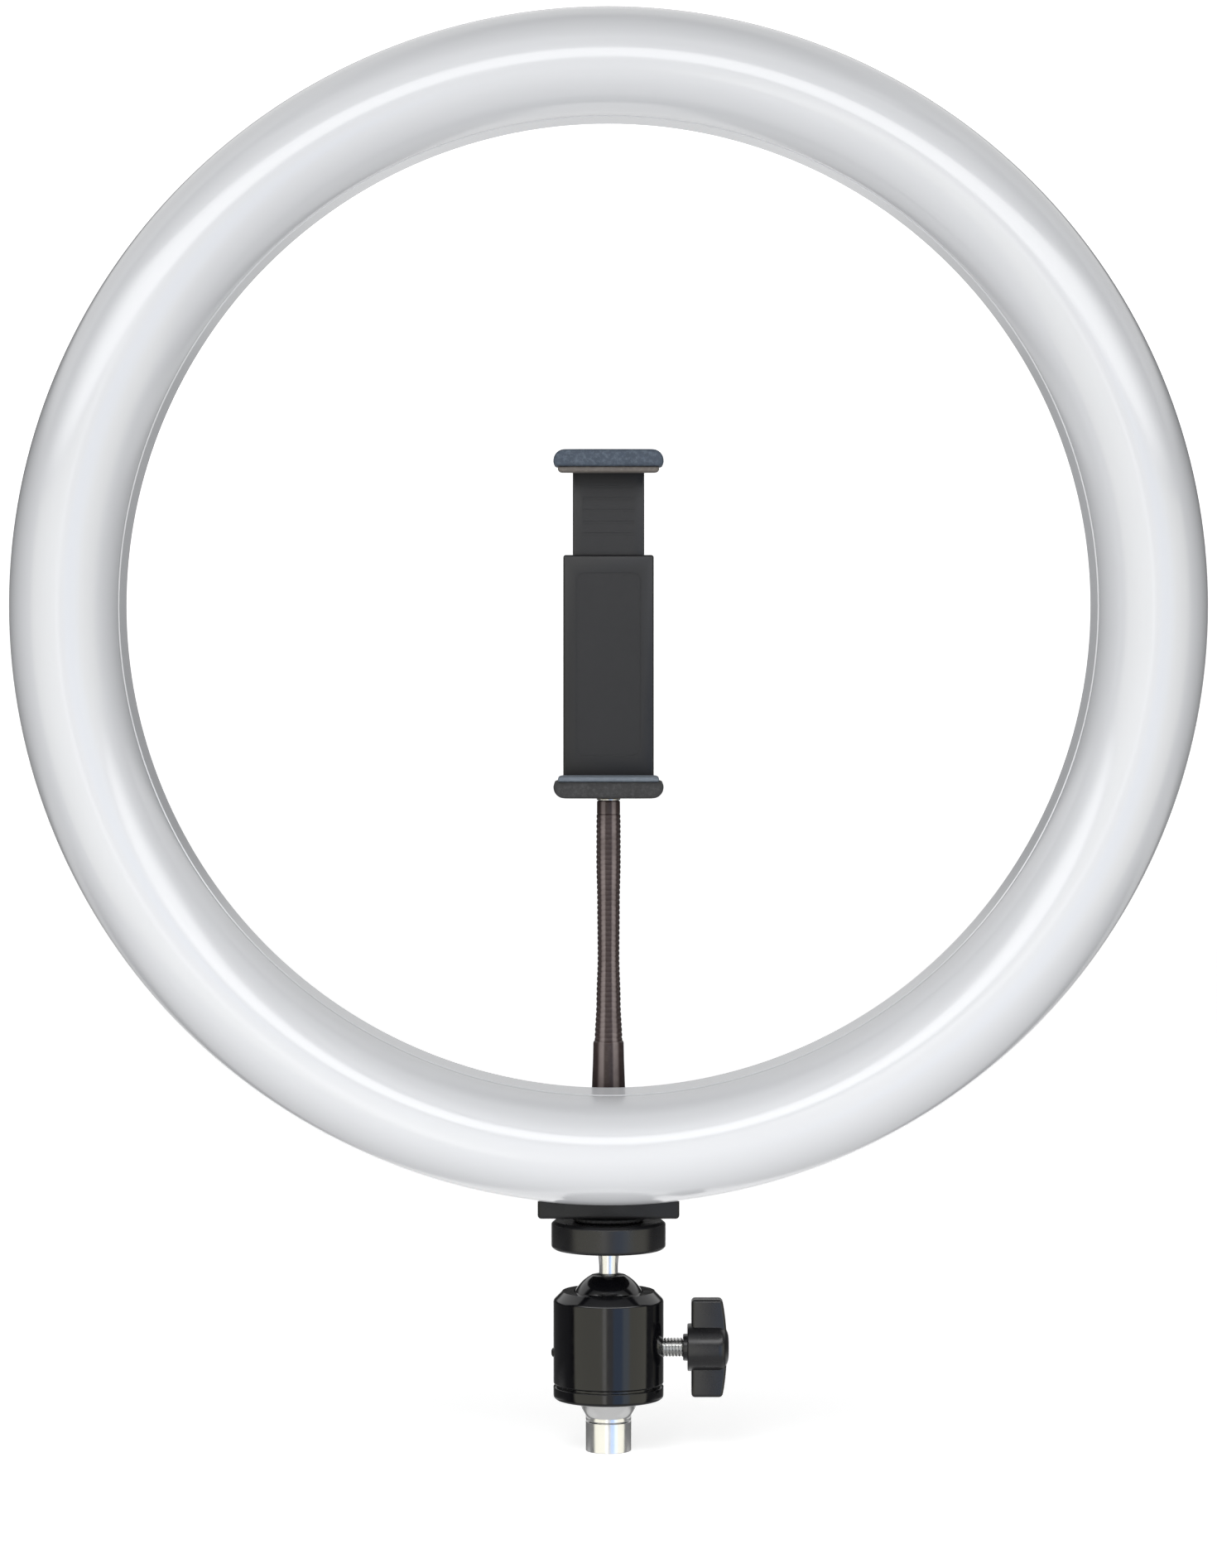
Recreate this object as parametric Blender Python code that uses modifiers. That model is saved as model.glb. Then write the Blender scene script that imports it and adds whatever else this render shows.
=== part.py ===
"""Ring light on a small ball head, with a bendable arm and a spring phone clamp.

The origin is the centre of the lower end of the post. +Z is up and the light faces -Y.
All sizes are in metres; the tables below are written in millimetres and converted by mm().
"""

import math
from types import SimpleNamespace

import bmesh
import bpy
from mathutils import Matrix, Vector


def mm(**sizes):
    """A table of named sizes, given in millimetres and kept in metres."""
    return SimpleNamespace(**{name: size * 0.001 for name, size in sizes.items()})


# ---------------------------------------------------------------- driving dimensions

FIT = mm(gap=0.3, merge=0.01, overshoot=3.0)

POST = mm(tube_r=5.8, bore_r=4.9, tube_top=7.5, shank_r=4.6, shank_low=0.0,
          flare_low=7.8, flare_mid=10.7, flare_mid_r=6.9, flare_top=12.9, flare_top_r=7.7,
          stud_r=3.17, stud_top=19.2)
CAP = mm(low=13.2, edge=1.0, r=14.0, rim_top=16.4, groove_r=13.2, groove_top=16.9,
         spigot_r=10.6, spigot_top=20.7, thread_r=3.5, thread_top=19.5)
HOUSING = mm(low=17.2, r=14.0, chamfer_low=38.2, top=40.4, top_r=11.75, bore_r=10.9, bore_top=34.0)
BALL = mm(z=35.9, r=9.6, cup_r=9.9, flat_top=44.5, bore_r=2.0, bore_low=38.0)
SEAT = mm(low=29.2, top=33.5, r=10.6)
SHOE = mm(low=21.0, top=28.9, r=10.6, screw_slot_x=7.7, screw_slot_half=2.8, screw_slot_low=23.3,
          pin_slot_x=9.3, pin_slot_half=1.6, pin_slot_top=26.6)
PIN = mm(z=24.8, r=1.25, hole_r=1.55, inner_x=-9.6, shoulder_x=-14.1, dome_x=-14.5, dome_r=0.6)
CLAMP_SCREW = mm(z=26.1, r=2.5, hole_r=2.8, tip_x=8.2, cone_x=9.6, tip_r=1.0, end_x=27.0)
KNOB = mm(boss_r=3.4, low_x=18.9, hub_r=6.0, hub_low_x=20.0, rim_x=28.9, dome_x=30.5,
          face_r=3.2, shoulder=0.6, wing_low_x=21.0, wing_high_x=29.4, wing_half_y=2.7,
          wing_half_z=12.5, wing_edge=1.1, bore_end_x=27.3)
STEM = mm(shank_r=1.7, shank_low=38.4, low=44.8, low_r=2.4, waist=47.0, waist_r=2.35,
          high=50.6, high_r=2.75, stud_low=51.0, stud_top=66.0, stud_r=3.17)
WHEEL = mm(low=51.2, top=58.3, r=14.5, edge=0.7, bore_r=3.5)
PAD = mm(low=58.6, top=59.3, r=9.2, bore_r=3.6)

RING = mm(z=214.1, outer_r=150.0, dome_mid_r=136.0, dome_half_w=14.0, dome_base=14.0, dome_h=17.8,
          crease_r=122.4, inner_r=120.9, back=10.8, wall=2.0,
          boss_r=3.4, boss_circle_r=145.4, boss_low=11.1, boss_top=20.0,
          screw_r=1.5, hole_r=1.8, hole_top=18.0, screw_tip=17.5)
COVER = mm(rear=5.8, front=10.5, outer_r=149.2, inner_r=121.9, wall=2.0, fillet=2.0,
           lip_outer_r=125.1, lip_top=12.5, root=6.8, pillar_top=10.4, post_r=2.0,
           post_circle_r=134.5, post_top=11.9, bracket_pillar_top=11.5,
           counterbore_r=3.0, counterbore_top=8.3)
CASE_SCREW = mm(head_r=2.7, head_rear=6.2, head_front=8.0, recess_r=1.1, recess=1.0, edge=0.4)
LED = mm(inner_r=128.0, outer_r=141.0, rear=12.2, front=13.4, chip_front=14.2, chip_root=12.9,
         chip_w=3.2, row_inner_r=131.2, row_outer_r=137.8)
CONTROL = mm(row_r=133.0, half_length=30.0, half_width=6.0, rear=10.2, front=11.4,
             switch_r=1.5, switch_rear=9.8, button_pitch=11.0, first_button=-22.0, socket_x=23.0)
BUTTON = mm(r=3.2, hole_r=3.5, flange_r=4.0, rear=4.4, edge=0.5, flange_rear=8.1, flange_front=8.9)
SOCKET = mm(half_w=4.5, half_h=1.7, rear=6.0, front=9.9, shell=0.5, floor=9.2,
            tongue_half_w=3.1, tongue_half_h=0.35, tongue_rear=6.9, clearance=0.4)
LEAD = mm(r=0.8, low=9.2, high=10.9)
LEAD_ARC = (math.radians(13.6), math.radians(26.0))
LEAD_SPANS = 6

BRACKET = mm(half_w=17.85, front=-8.0, rear=9.5, low=59.6, foot_top=66.5, upright_front=-5.6,
             trim_y=-5.4, upright_low=61.0, top=87.0, edge=0.9, ring_clearance=0.6,
             insert_bore_r=4.9, insert_bore_top=67.2, neck_bore_r=3.3, neck_bore_low=76.0,
             screw_x=11.0, screw_z=78.0, counterbore_r=3.3, counterbore_y=6.4)
BRACKET_SCREW = mm(tip=11.2, under_head=-6.7, head_rear=-8.9, head_r=3.0)
INSERT = mm(low=59.9, top=66.9, r=4.6, bore_r=3.5)

COLLAR = mm(low=87.3, top=103.7, low_r=4.45, top_r=3.85, edge=0.3, stud_r=3.0, stud_low=77.0)
NECK = mm(first_pivot=108.0, pitch=9.0, first_low=104.0, last_top=161.0, ball_r=2.2, cup_r=2.5,
          mouth=0.9, collar_r=3.5, collar_z=104.0, waist_r=2.75, waist_z=125.0,
          upper_r=3.1, upper_z=150.0, end_r=2.95, end_z=165.0)
FITTING = mm(low=161.3, top=165.2, r=3.0, edge=0.3, stud_r=2.4, stud_top=169.0)

JAW = mm(half_w=13.9, front=-10.0, rear=9.4, lower_low=165.5, lower_top=169.6,
         upper_low=249.3, upper_top=253.6, corner=2.8, edge=0.6)
GRIP = mm(half_w=12.9, front=-9.0, rear=1.6, lower_low=169.9, lower_top=171.1,
          upper_low=247.8, upper_top=249.0, edge=0.35)
SPINE = mm(half_w=11.5, front=2.0, rear=7.7, low=168.0, top=227.0, edge=0.5,
           channel_half_w=9.4, channel_front=3.0, channel_low=175.8)
SLIDER = mm(half_w=9.1, front=4.0, rear=6.9, low=197.0, top=250.8, slot_half_w=2.7, slot_top=211.9)
CLAMP_COVER = mm(rear=9.4, front=8.0, low=169.9, top=227.0, edge=0.4)
COVER_SCREW = mm(x=7.0, z=173.0, r=1.0, hole_r=1.3, head_r=1.8, under_head=9.7, head_rear=10.6,
                 tip=3.6, hole_front=3.2)
SPRING = mm(y=5.35, coil_r=1.8, wire_r=0.35, low=176.6, top=211.2)
CLAMP_INSERT = mm(low=165.8, top=169.3, r=3.6, bore_r=2.7, seat_r=3.9, seat_top=169.45)

CASE_SCREWS = 6
CASE_SCREW_STEP = math.radians(60)
CONTROL_TURN = math.radians(60)
LED_CHIPS = 30
NECK_PIVOTS = 6
SPRING_TURNS = 9
SPRING_POINTS_PER_TURN = 8
BUTTONS = ("button_power", "button_colour", "button_brighter", "button_dimmer")

RING_STEPS = 40
ROUND_STEPS = 24
SLIM_STEPS = 20
SMALL_STEPS = 12
SCREW_STEPS = 10
BOX_CORNER_STEPS = 4
SLOT_CORNER_STEPS = 3
SLOT_ROUNDNESS = 0.9

# The turning axis of a round piece: its direction and the rotation that aims local +Z along it.
UP = (Vector((0, 0, 1)), (0, 0, 0))
FRONT = (Vector((0, -1, 0)), (math.pi / 2, 0, 0))
RIGHT = (Vector((1, 0, 0)), (0, math.pi / 2, 0))


# ---------------------------------------------------------------- scene and materials

def new_scene():
    """Empty the scene and make one collection for the parts and one for the cutters."""
    for old in list(bpy.data.objects):
        bpy.data.objects.remove(old, do_unlink=True)
    made = []
    for name in ("ring_light", "cutters"):
        collection = bpy.data.collections.new(name)
        bpy.context.scene.collection.children.link(collection)
        made.append(collection)
    return made


PARTS, CUTTERS = new_scene()


def material(name, colour, roughness, metallic=0.0):
    """A plain Principled finish."""
    finish = bpy.data.materials.new(name)
    finish.use_nodes = True
    shader = finish.node_tree.nodes["Principled BSDF"]
    shader.inputs["Base Color"].default_value = (*colour, 1.0)
    shader.inputs["Roughness"].default_value = roughness
    shader.inputs["Metallic"].default_value = metallic
    return finish


MILKY = material("milky_acrylic", (0.78, 0.80, 0.83), 0.22)
BLACK_PLASTIC = material("matte_black_plastic", (0.018, 0.018, 0.019), 0.5)
SATIN_BLACK = material("satin_black_plastic", (0.014, 0.014, 0.016), 0.3)
BLACK_ANODISED = material("gloss_black_metal", (0.010, 0.010, 0.013), 0.15, 0.6)
CHROME = material("chrome", (0.75, 0.75, 0.76), 0.1, 1.0)
ZINC = material("zinc_steel", (0.60, 0.60, 0.60), 0.28, 1.0)
BRASS = material("brass", (0.62, 0.46, 0.20), 0.3, 1.0)
NECK_COVER = material("neck_cover", (0.085, 0.062, 0.058), 0.42)
FOAM_BLUE = material("blue_grey_rubber", (0.085, 0.125, 0.170), 0.85)
FOAM_GREY = material("dark_grey_rubber", (0.060, 0.060, 0.065), 0.85)
RUBBER = material("black_rubber", (0.02, 0.02, 0.02), 0.8)
NYLON = material("white_nylon", (0.75, 0.74, 0.70), 0.45)
BOARD = material("white_board", (0.80, 0.80, 0.76), 0.5)
GREEN_BOARD = material("green_board", (0.03, 0.16, 0.07), 0.45)


# ---------------------------------------------------------------- modelling helpers

def link(name, mesh, finish):
    """Put a mesh in the scene: a part when it has a finish, and a cutter when it has none."""
    obj = bpy.data.objects.new(name, mesh)
    if finish:
        PARTS.objects.link(obj)
        obj.data.materials.append(finish)
        return obj
    CUTTERS.objects.link(obj)
    obj.hide_render = True
    obj.display_type = "WIRE"
    return obj


def frame(name, place, turn=(0, 0, 0), parent=None):
    """An empty on a joint's axis, which carries the pieces that move with it."""
    empty = bpy.data.objects.new(name, None)
    PARTS.objects.link(empty)
    empty.location = place
    empty.rotation_euler = turn
    if parent:
        hang(empty, parent)
    bpy.context.view_layer.update()
    return empty


def hang(obj, parent):
    """Parent a piece and leave it where it is."""
    obj.parent = parent
    obj.matrix_parent_inverse = parent.matrix_world.inverted()
    return obj


def turned(name, outline, finish, steps=ROUND_STEPS, closed=False, centre=(0, 0, 0), aim=UP):
    """Turn (radius, distance along the axis) points about an axis through the centre."""
    direction, turn = aim
    start = direction.dot(Vector(centre))
    points = [(radius, 0.0, distance - start) for radius, distance in outline]
    edges = [(i, i + 1) for i in range(len(points) - 1)]
    if closed:
        edges.append((len(points) - 1, 0))
    mesh = bpy.data.meshes.new(name)
    mesh.from_pydata(points, edges, [])
    obj = link(name, mesh, finish)
    obj.location = centre
    obj.rotation_euler = turn
    screw = obj.modifiers.new("Turn", "SCREW")
    screw.steps = steps
    screw.render_steps = steps
    screw.use_smooth_shade = True
    screw.use_merge_vertices = True
    screw.merge_threshold = FIT.merge
    return obj


def arc(centre, radii, start, end, count):
    """Points on an elliptic arc, with angles in degrees from the outward direction."""
    points = []
    for i in range(count + 1):
        angle = math.radians(start + (end - start) * i / count)
        points.append((centre[0] + radii[0] * math.cos(angle), centre[1] + radii[1] * math.sin(angle)))
    return points


def block(name, low, high, finish, edge=0.0, corners=None, corner=0.0):
    """A box between two corners; corners picks edges along Y that get a larger radius."""
    low, high = Vector(low), Vector(high)
    bm = bmesh.new()
    bmesh.ops.create_cube(bm, size=1.0)
    bmesh.ops.scale(bm, vec=high - low, verts=bm.verts)
    if corners:
        ends = [e for e in bm.edges if abs(e.verts[0].co.y - e.verts[1].co.y) > FIT.merge
                and e.verts[0].co.z * corners > 0]
        bmesh.ops.bevel(bm, geom=ends, offset=corner, segments=BOX_CORNER_STEPS, profile=0.5, affect="EDGES")
    mesh = bpy.data.meshes.new(name)
    bm.to_mesh(mesh)
    bm.free()
    obj = link(name, mesh, finish)
    obj.location = (low + high) / 2
    if edge:
        soften(obj, edge)
    return obj


def soften(obj, edge):
    """Round the sharp edges."""
    bevel = obj.modifiers.new("Soften", "BEVEL")
    bevel.width = edge
    bevel.segments = 1
    bevel.limit_method = "ANGLE"
    return obj


def rods(name, spans, steps=SMALL_STEPS, finish=None):
    """Round bars in one mesh, each from one point to another with its own radius."""
    bm = bmesh.new()
    for start, end, radius in spans:
        start, end = Vector(start), Vector(end)
        along = end - start
        place = Matrix.Translation((start + end) / 2) @ along.to_track_quat("Z", "Y").to_matrix().to_4x4()
        bmesh.ops.create_cone(bm, cap_ends=True, segments=steps, radius1=radius, radius2=radius,
                              depth=along.length, matrix=place)
    mesh = bpy.data.meshes.new(name)
    bm.to_mesh(mesh)
    bm.free()
    return link(name, mesh, finish)


def shape(target, tool, operation):
    """Cut a tool out of a piece, or join it on."""
    boolean = target.modifiers.new(tool.name, "BOOLEAN")
    boolean.operation = operation
    boolean.solver = "EXACT"
    boolean.object = tool


def cut(target, tool):
    shape(target, tool, "DIFFERENCE")


def join(target, tool):
    shape(target, tool, "UNION")


def around_ring(radius, angle, depth):
    """A point at a radius and an angle from the lowest point of the ring, in front of Y = 0."""
    return (radius * math.sin(angle), -depth, RING.z - radius * math.cos(angle))


def case_screw_angles():
    """The screws stand either side of the foot, evenly spaced, and none at the lowest point."""
    half_step = CASE_SCREW_STEP / 2
    return [half_step + i * CASE_SCREW_STEP for i in range(CASE_SCREWS)]


def ring_rods(radius, circle_r, rear, front):
    """Bars along the ring's axis at every case screw."""
    return [(around_ring(circle_r, angle, rear), around_ring(circle_r, angle, front), radius)
            for angle in case_screw_angles()]


# ---------------------------------------------------------------- post and ball head

def post(root):
    """The upper end of the stand's tube, and the turned adapter plugged into it."""
    tube = [(POST.tube_r, POST.tube_top), (POST.tube_r, 0), (POST.bore_r, 0), (POST.bore_r, POST.tube_top)]
    hang(turned("post_tube", tube, CHROME, closed=True), root)
    outline = [(0, POST.stud_top), (POST.stud_r, POST.stud_top), (POST.stud_r, POST.flare_top),
               (POST.flare_top_r, POST.flare_top), (POST.flare_mid_r, POST.flare_mid),
               (POST.tube_r, POST.flare_low), (POST.shank_r, POST.flare_low),
               (POST.shank_r, POST.shank_low), (0, POST.shank_low)]
    hang(turned("post_adapter", outline, CHROME), root)


def base_cap(head):
    """The cap that closes the housing from below and holds the post's thread."""
    outline = [(0, CAP.spigot_top), (CAP.spigot_r, CAP.spigot_top), (CAP.spigot_r, CAP.groove_top),
               (CAP.groove_r, CAP.groove_top), (CAP.groove_r, CAP.rim_top), (CAP.r, CAP.rim_top)]
    outline += arc((CAP.r - CAP.edge, CAP.low + CAP.edge), (CAP.edge, CAP.edge), 0, -90, 2)
    outline += [(CAP.thread_r, CAP.low), (CAP.thread_r, CAP.thread_top), (0, CAP.thread_top)]
    hang(turned("base_cap", outline, BLACK_ANODISED), head)


def ball_housing(head):
    """The body of the ball head: a bore from below that ends in half a spherical cup."""
    mouth = math.degrees(math.asin((HOUSING.top - BALL.z) / BALL.cup_r))
    outline = [(HOUSING.top_r, HOUSING.top), (HOUSING.r, HOUSING.chamfer_low), (HOUSING.r, HOUSING.low),
               (HOUSING.bore_r, HOUSING.low), (HOUSING.bore_r, HOUSING.bore_top),
               (BALL.cup_r, HOUSING.bore_top)]
    outline += arc((0, BALL.z), (BALL.cup_r, BALL.cup_r), 0, mouth, 3)
    housing = hang(turned("ball_housing", outline, BLACK_ANODISED, closed=True), head)
    axis_z = CLAMP_SCREW.z
    side_holes = [((BALL.r, 0, axis_z), (HOUSING.r + FIT.overshoot, 0, axis_z), CLAMP_SCREW.hole_r),
                  ((-HOUSING.r - FIT.overshoot, 0, PIN.z), (-BALL.r, 0, PIN.z), PIN.hole_r)]
    cut(housing, rods("housing_side_holes", side_holes))


def ball_seat(seat):
    """The nylon ring that turns under the ball."""
    low = math.degrees(math.asin((SEAT.low - BALL.z) / BALL.cup_r))
    high = math.degrees(math.asin((SEAT.top - BALL.z) / BALL.cup_r))
    outline = [(SEAT.r, SEAT.top), (SEAT.r, SEAT.low)]
    outline += arc((0, BALL.z), (BALL.cup_r, BALL.cup_r), low, high, 3)
    hang(turned("ball_seat", outline, NYLON, closed=True), seat)


def brake_shoe(head):
    """The cup under the ball that the clamp screw pushes on, keyed by the pin."""
    rim = math.degrees(math.asin((SHOE.top - BALL.z) / BALL.cup_r))
    outline = arc((0, BALL.z), (BALL.cup_r, BALL.cup_r), -90, rim, 3)
    outline += [(SHOE.r, SHOE.top), (SHOE.r, SHOE.low), (0, SHOE.low)]
    outline[0] = (0, BALL.z - BALL.cup_r)
    shoe = hang(turned("brake_shoe", outline, NYLON), head)
    half, far = SHOE.screw_slot_half, SHOE.r + FIT.overshoot
    cut(shoe, block("shoe_screw_slot", (SHOE.screw_slot_x, -half, SHOE.screw_slot_low),
                    (far, half, SHOE.top + FIT.overshoot), None))
    half = SHOE.pin_slot_half
    cut(shoe, block("shoe_pin_slot", (-far, -half, SHOE.low - FIT.overshoot),
                    (-SHOE.pin_slot_x, half, SHOE.pin_slot_top), None))


def stop_pin(head):
    """The pin with a domed end in the left side of the housing."""
    outline = [(0, PIN.inner_x), (PIN.r, PIN.inner_x), (PIN.r, PIN.shoulder_x),
               (PIN.dome_r, PIN.dome_x), (0, PIN.dome_x)]
    hang(turned("stop_pin", outline, BLACK_ANODISED, SMALL_STEPS, centre=(0, 0, PIN.z), aim=RIGHT), head)


def clamp_screw(carriage):
    """The threaded bar, pointed where it meets the shoe."""
    bar = CLAMP_SCREW
    outline = [(0, bar.end_x), (bar.r, bar.end_x), (bar.r, bar.cone_x), (bar.tip_r, bar.tip_x),
               (0, bar.tip_x)]
    screw = turned("clamp_screw", outline, ZINC, SMALL_STEPS, centre=(0, 0, bar.z), aim=RIGHT)
    hang(screw, carriage)


def knob(grip):
    """A domed hub with two flat wings, and a small boss towards the housing."""
    outline = [(0, KNOB.dome_x), (KNOB.face_r, KNOB.dome_x - KNOB.shoulder / 2),
               (KNOB.hub_r - KNOB.shoulder, KNOB.rim_x), (KNOB.hub_r, KNOB.rim_x - KNOB.shoulder),
               (KNOB.hub_r, KNOB.hub_low_x), (KNOB.boss_r, KNOB.hub_low_x),
               (KNOB.boss_r, KNOB.low_x), (CLAMP_SCREW.hole_r, KNOB.low_x),
               (CLAMP_SCREW.hole_r, KNOB.bore_end_x), (0, KNOB.bore_end_x)]
    hub = turned("knob", outline, SATIN_BLACK, centre=(0, 0, CLAMP_SCREW.z), aim=RIGHT)
    low = (KNOB.wing_low_x, -KNOB.wing_half_y, CLAMP_SCREW.z - KNOB.wing_half_z)
    high = (KNOB.wing_high_x, KNOB.wing_half_y, CLAMP_SCREW.z + KNOB.wing_half_z)
    wings = block("knob_wings", low, high, None, edge=KNOB.wing_edge)
    middle = KNOB.hub_r - KNOB.shoulder
    opening = [((KNOB.low_x, 0, CLAMP_SCREW.z), (KNOB.dome_x, 0, CLAMP_SCREW.z), middle)]
    cut(wings, rods("knob_wing_gap", opening, ROUND_STEPS))
    join(hub, wings)
    hang(hub, grip)


def ball(tilt):
    """The ball, with a flat on top and a bore for the stem."""
    flat = math.degrees(math.asin((BALL.flat_top - BALL.z) / BALL.r))
    outline = [(0, BALL.bore_low), (BALL.bore_r, BALL.bore_low), (BALL.bore_r, BALL.flat_top)]
    outline += arc((0, BALL.z), (BALL.r, BALL.r), flat, -90, 12)
    outline[-1] = (0, BALL.z - BALL.r)
    hang(turned("ball", outline, BLACK_ANODISED, centre=(0, 0, BALL.z)), tilt)


def ball_stem(tilt):
    """The chrome stem, waisted between the ball and the wheel, with the stud above."""
    outline = [(0, STEM.stud_top), (STEM.stud_r, STEM.stud_top), (STEM.stud_r, STEM.stud_low),
               (STEM.high_r, STEM.high), (STEM.waist_r, STEM.waist), (STEM.low_r, STEM.low),
               (STEM.shank_r, STEM.low), (STEM.shank_r, STEM.shank_low), (0, STEM.shank_low)]
    hang(turned("ball_stem", outline, CHROME, SLIM_STEPS, centre=(0, 0, BALL.z)), tilt)


def lock_wheel(turn):
    """The round nut that locks the light on the stud."""
    edge = WHEEL.edge
    outline = [(WHEEL.r - edge, WHEEL.top), (WHEEL.r, WHEEL.top - edge), (WHEEL.r, WHEEL.low + edge),
               (WHEEL.r - edge, WHEEL.low), (WHEEL.bore_r, WHEEL.low), (WHEEL.bore_r, WHEEL.top)]
    hang(turned("lock_wheel", outline, SATIN_BLACK, closed=True), turn)


def lock_pad(slide):
    """The rubber washer between the wheel and the foot."""
    outline = [(PAD.r, PAD.top), (PAD.r, PAD.low), (PAD.bore_r, PAD.low), (PAD.bore_r, PAD.top)]
    hang(turned("lock_pad", outline, RUBBER, closed=True), slide)


# ---------------------------------------------------------------- ring head

def diffuser(ring):
    """The milky front: a turned shell with a screw boss at each case screw."""
    middle, base = RING.dome_mid_r, RING.dome_base
    outer = (RING.dome_half_w, RING.dome_h)
    inner = (RING.dome_half_w - RING.wall, RING.dome_h - RING.wall)
    crease = math.degrees(math.acos((RING.crease_r - middle) / RING.dome_half_w))
    outline = arc((middle, base), outer, 90, 0, 6)
    outline += [(RING.outer_r, RING.back), (RING.outer_r - RING.wall, RING.back)]
    outline += arc((middle, base), inner, 0, 180, 8)
    outline += [(RING.inner_r + RING.wall, RING.back), (RING.inner_r, RING.back)]
    outline += arc((middle, base), outer, crease, 90, 5)[:-1]
    shell = turned("diffuser", outline, MILKY, RING_STEPS, closed=True, centre=(0, 0, RING.z), aim=FRONT)
    join(shell, rods("diffuser_bosses", ring_rods(RING.boss_r, RING.boss_circle_r, RING.boss_low,
                                                  RING.boss_top), SCREW_STEPS))
    holes = ring_rods(RING.hole_r, RING.boss_circle_r, RING.back - FIT.overshoot, RING.hole_top)
    cut(shell, rods("diffuser_boss_holes", holes, SCREW_STEPS))
    hang(shell, ring)


def bracket_screw_places():
    """The two screws stand side by side across the upright."""
    return [(-BRACKET.screw_x, 0, BRACKET.screw_z), (BRACKET.screw_x, 0, BRACKET.screw_z)]


def along_front(place, rear, front, radius):
    """A bar through a place, along the ring's axis, between two depths."""
    return ((place[0], -rear, place[2]), (place[0], -front, place[2]), radius)


def back_cover(ring, controls):
    """The rear tray, with its pillars, screw holes and openings for the controls."""
    fillet = COVER.fillet
    corner = (fillet, fillet)
    low = COVER.rear + fillet
    floor = COVER.rear + COVER.wall
    rim_r = COVER.outer_r - COVER.wall
    outline = [(COVER.outer_r, COVER.front)]
    outline += arc((COVER.outer_r - fillet, low), corner, 0, -90, 2)
    outline += arc((COVER.inner_r + fillet, low), corner, -90, -180, 2)
    outline += [(COVER.inner_r, COVER.front), (COVER.inner_r + COVER.wall, COVER.front),
                (COVER.inner_r + COVER.wall, COVER.lip_top), (COVER.lip_outer_r, COVER.lip_top),
                (COVER.lip_outer_r, floor), (rim_r, floor), (rim_r, COVER.front)]
    tray = turned("back_cover", outline, BLACK_PLASTIC, RING_STEPS, closed=True,
                  centre=(0, 0, RING.z), aim=FRONT)
    pillars = ring_rods(RING.boss_r, RING.boss_circle_r, COVER.root, COVER.pillar_top)
    pillars += ring_rods(COVER.post_r, COVER.post_circle_r, COVER.root, COVER.post_top)
    pillars += [along_front(place, COVER.root, COVER.bracket_pillar_top, BRACKET.counterbore_r)
                for place in bracket_screw_places()]
    join(tray, rods("cover_pillars", pillars, SCREW_STEPS))
    rear, front = COVER.rear - FIT.overshoot, COVER.lip_top + FIT.overshoot
    holes = ring_rods(RING.hole_r, RING.boss_circle_r, rear, front)
    holes += [along_front(place, rear, front, RING.hole_r) for place in bracket_screw_places()]
    cut(tray, rods("cover_screw_holes", holes, SCREW_STEPS))
    cut(tray, rods("cover_counterbores", ring_rods(COVER.counterbore_r, RING.boss_circle_r, rear,
                                                   COVER.counterbore_top), SCREW_STEPS))
    button_holes = [along_front(place, rear, front, BUTTON.hole_r) for place in button_places()]
    openings = rods("cover_button_holes", button_holes)
    openings.parent = controls
    cut(tray, openings)
    half_w = SOCKET.half_w + SOCKET.clearance
    half_h = SOCKET.half_h + SOCKET.clearance
    socket_hole = block("cover_socket_hole",
                        (CONTROL.socket_x - half_w, -front, -CONTROL.row_r - half_h),
                        (CONTROL.socket_x + half_w, -rear, -CONTROL.row_r + half_h), None)
    socket_hole.parent = controls
    cut(tray, socket_hole)
    hang(tray, ring)


def case_screws(ring):
    """Six screws from the rear, through the cover into the bosses."""
    head = CASE_SCREW
    outline = [(0, RING.screw_tip), (RING.screw_r, RING.screw_tip - head.edge),
               (RING.screw_r, head.head_front), (head.head_r, head.head_front),
               (head.head_r, head.head_rear + head.edge),
               (head.head_r - head.edge, head.head_rear), (head.recess_r, head.head_rear),
               (head.recess_r, head.head_rear + head.recess), (0, head.head_rear + head.recess)]
    for number, angle in enumerate(case_screw_angles(), 1):
        centre = around_ring(RING.boss_circle_r, angle, 0)
        hang(turned("case_screw_%d" % number, outline, ZINC, SCREW_STEPS, centre=centre, aim=FRONT), ring)


def led_board(ring):
    """The ring-shaped board with two staggered rows of light-emitting chips."""
    outline = [(LED.outer_r, LED.front), (LED.outer_r, LED.rear), (LED.inner_r, LED.rear),
               (LED.inner_r, LED.front)]
    board = turned("led_board", outline, BOARD, RING_STEPS, closed=True, centre=(0, 0, RING.z), aim=FRONT)
    bm = bmesh.new()
    depth = LED.chip_front - LED.chip_root
    for number in range(LED_CHIPS):
        angle = math.tau * number / LED_CHIPS
        row_r = LED.row_outer_r if number % 2 else LED.row_inner_r
        place = Matrix.Translation(around_ring(row_r, angle, (LED.chip_front + LED.chip_root) / 2))
        size = Matrix.Diagonal((LED.chip_w, depth, LED.chip_w, 1.0))
        bmesh.ops.create_cube(bm, size=1.0, matrix=place @ Matrix.Rotation(-angle, 4, "Y") @ size)
    mesh = bpy.data.meshes.new("led_chips")
    bm.to_mesh(mesh)
    bm.free()
    join(board, link("led_chips", mesh, None))
    hang(board, ring)


def button_places():
    """The four buttons in a row, in the frame of the controls."""
    return [(CONTROL.first_button + i * CONTROL.button_pitch, 0, -CONTROL.row_r)
            for i in range(len(BUTTONS))]


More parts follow.
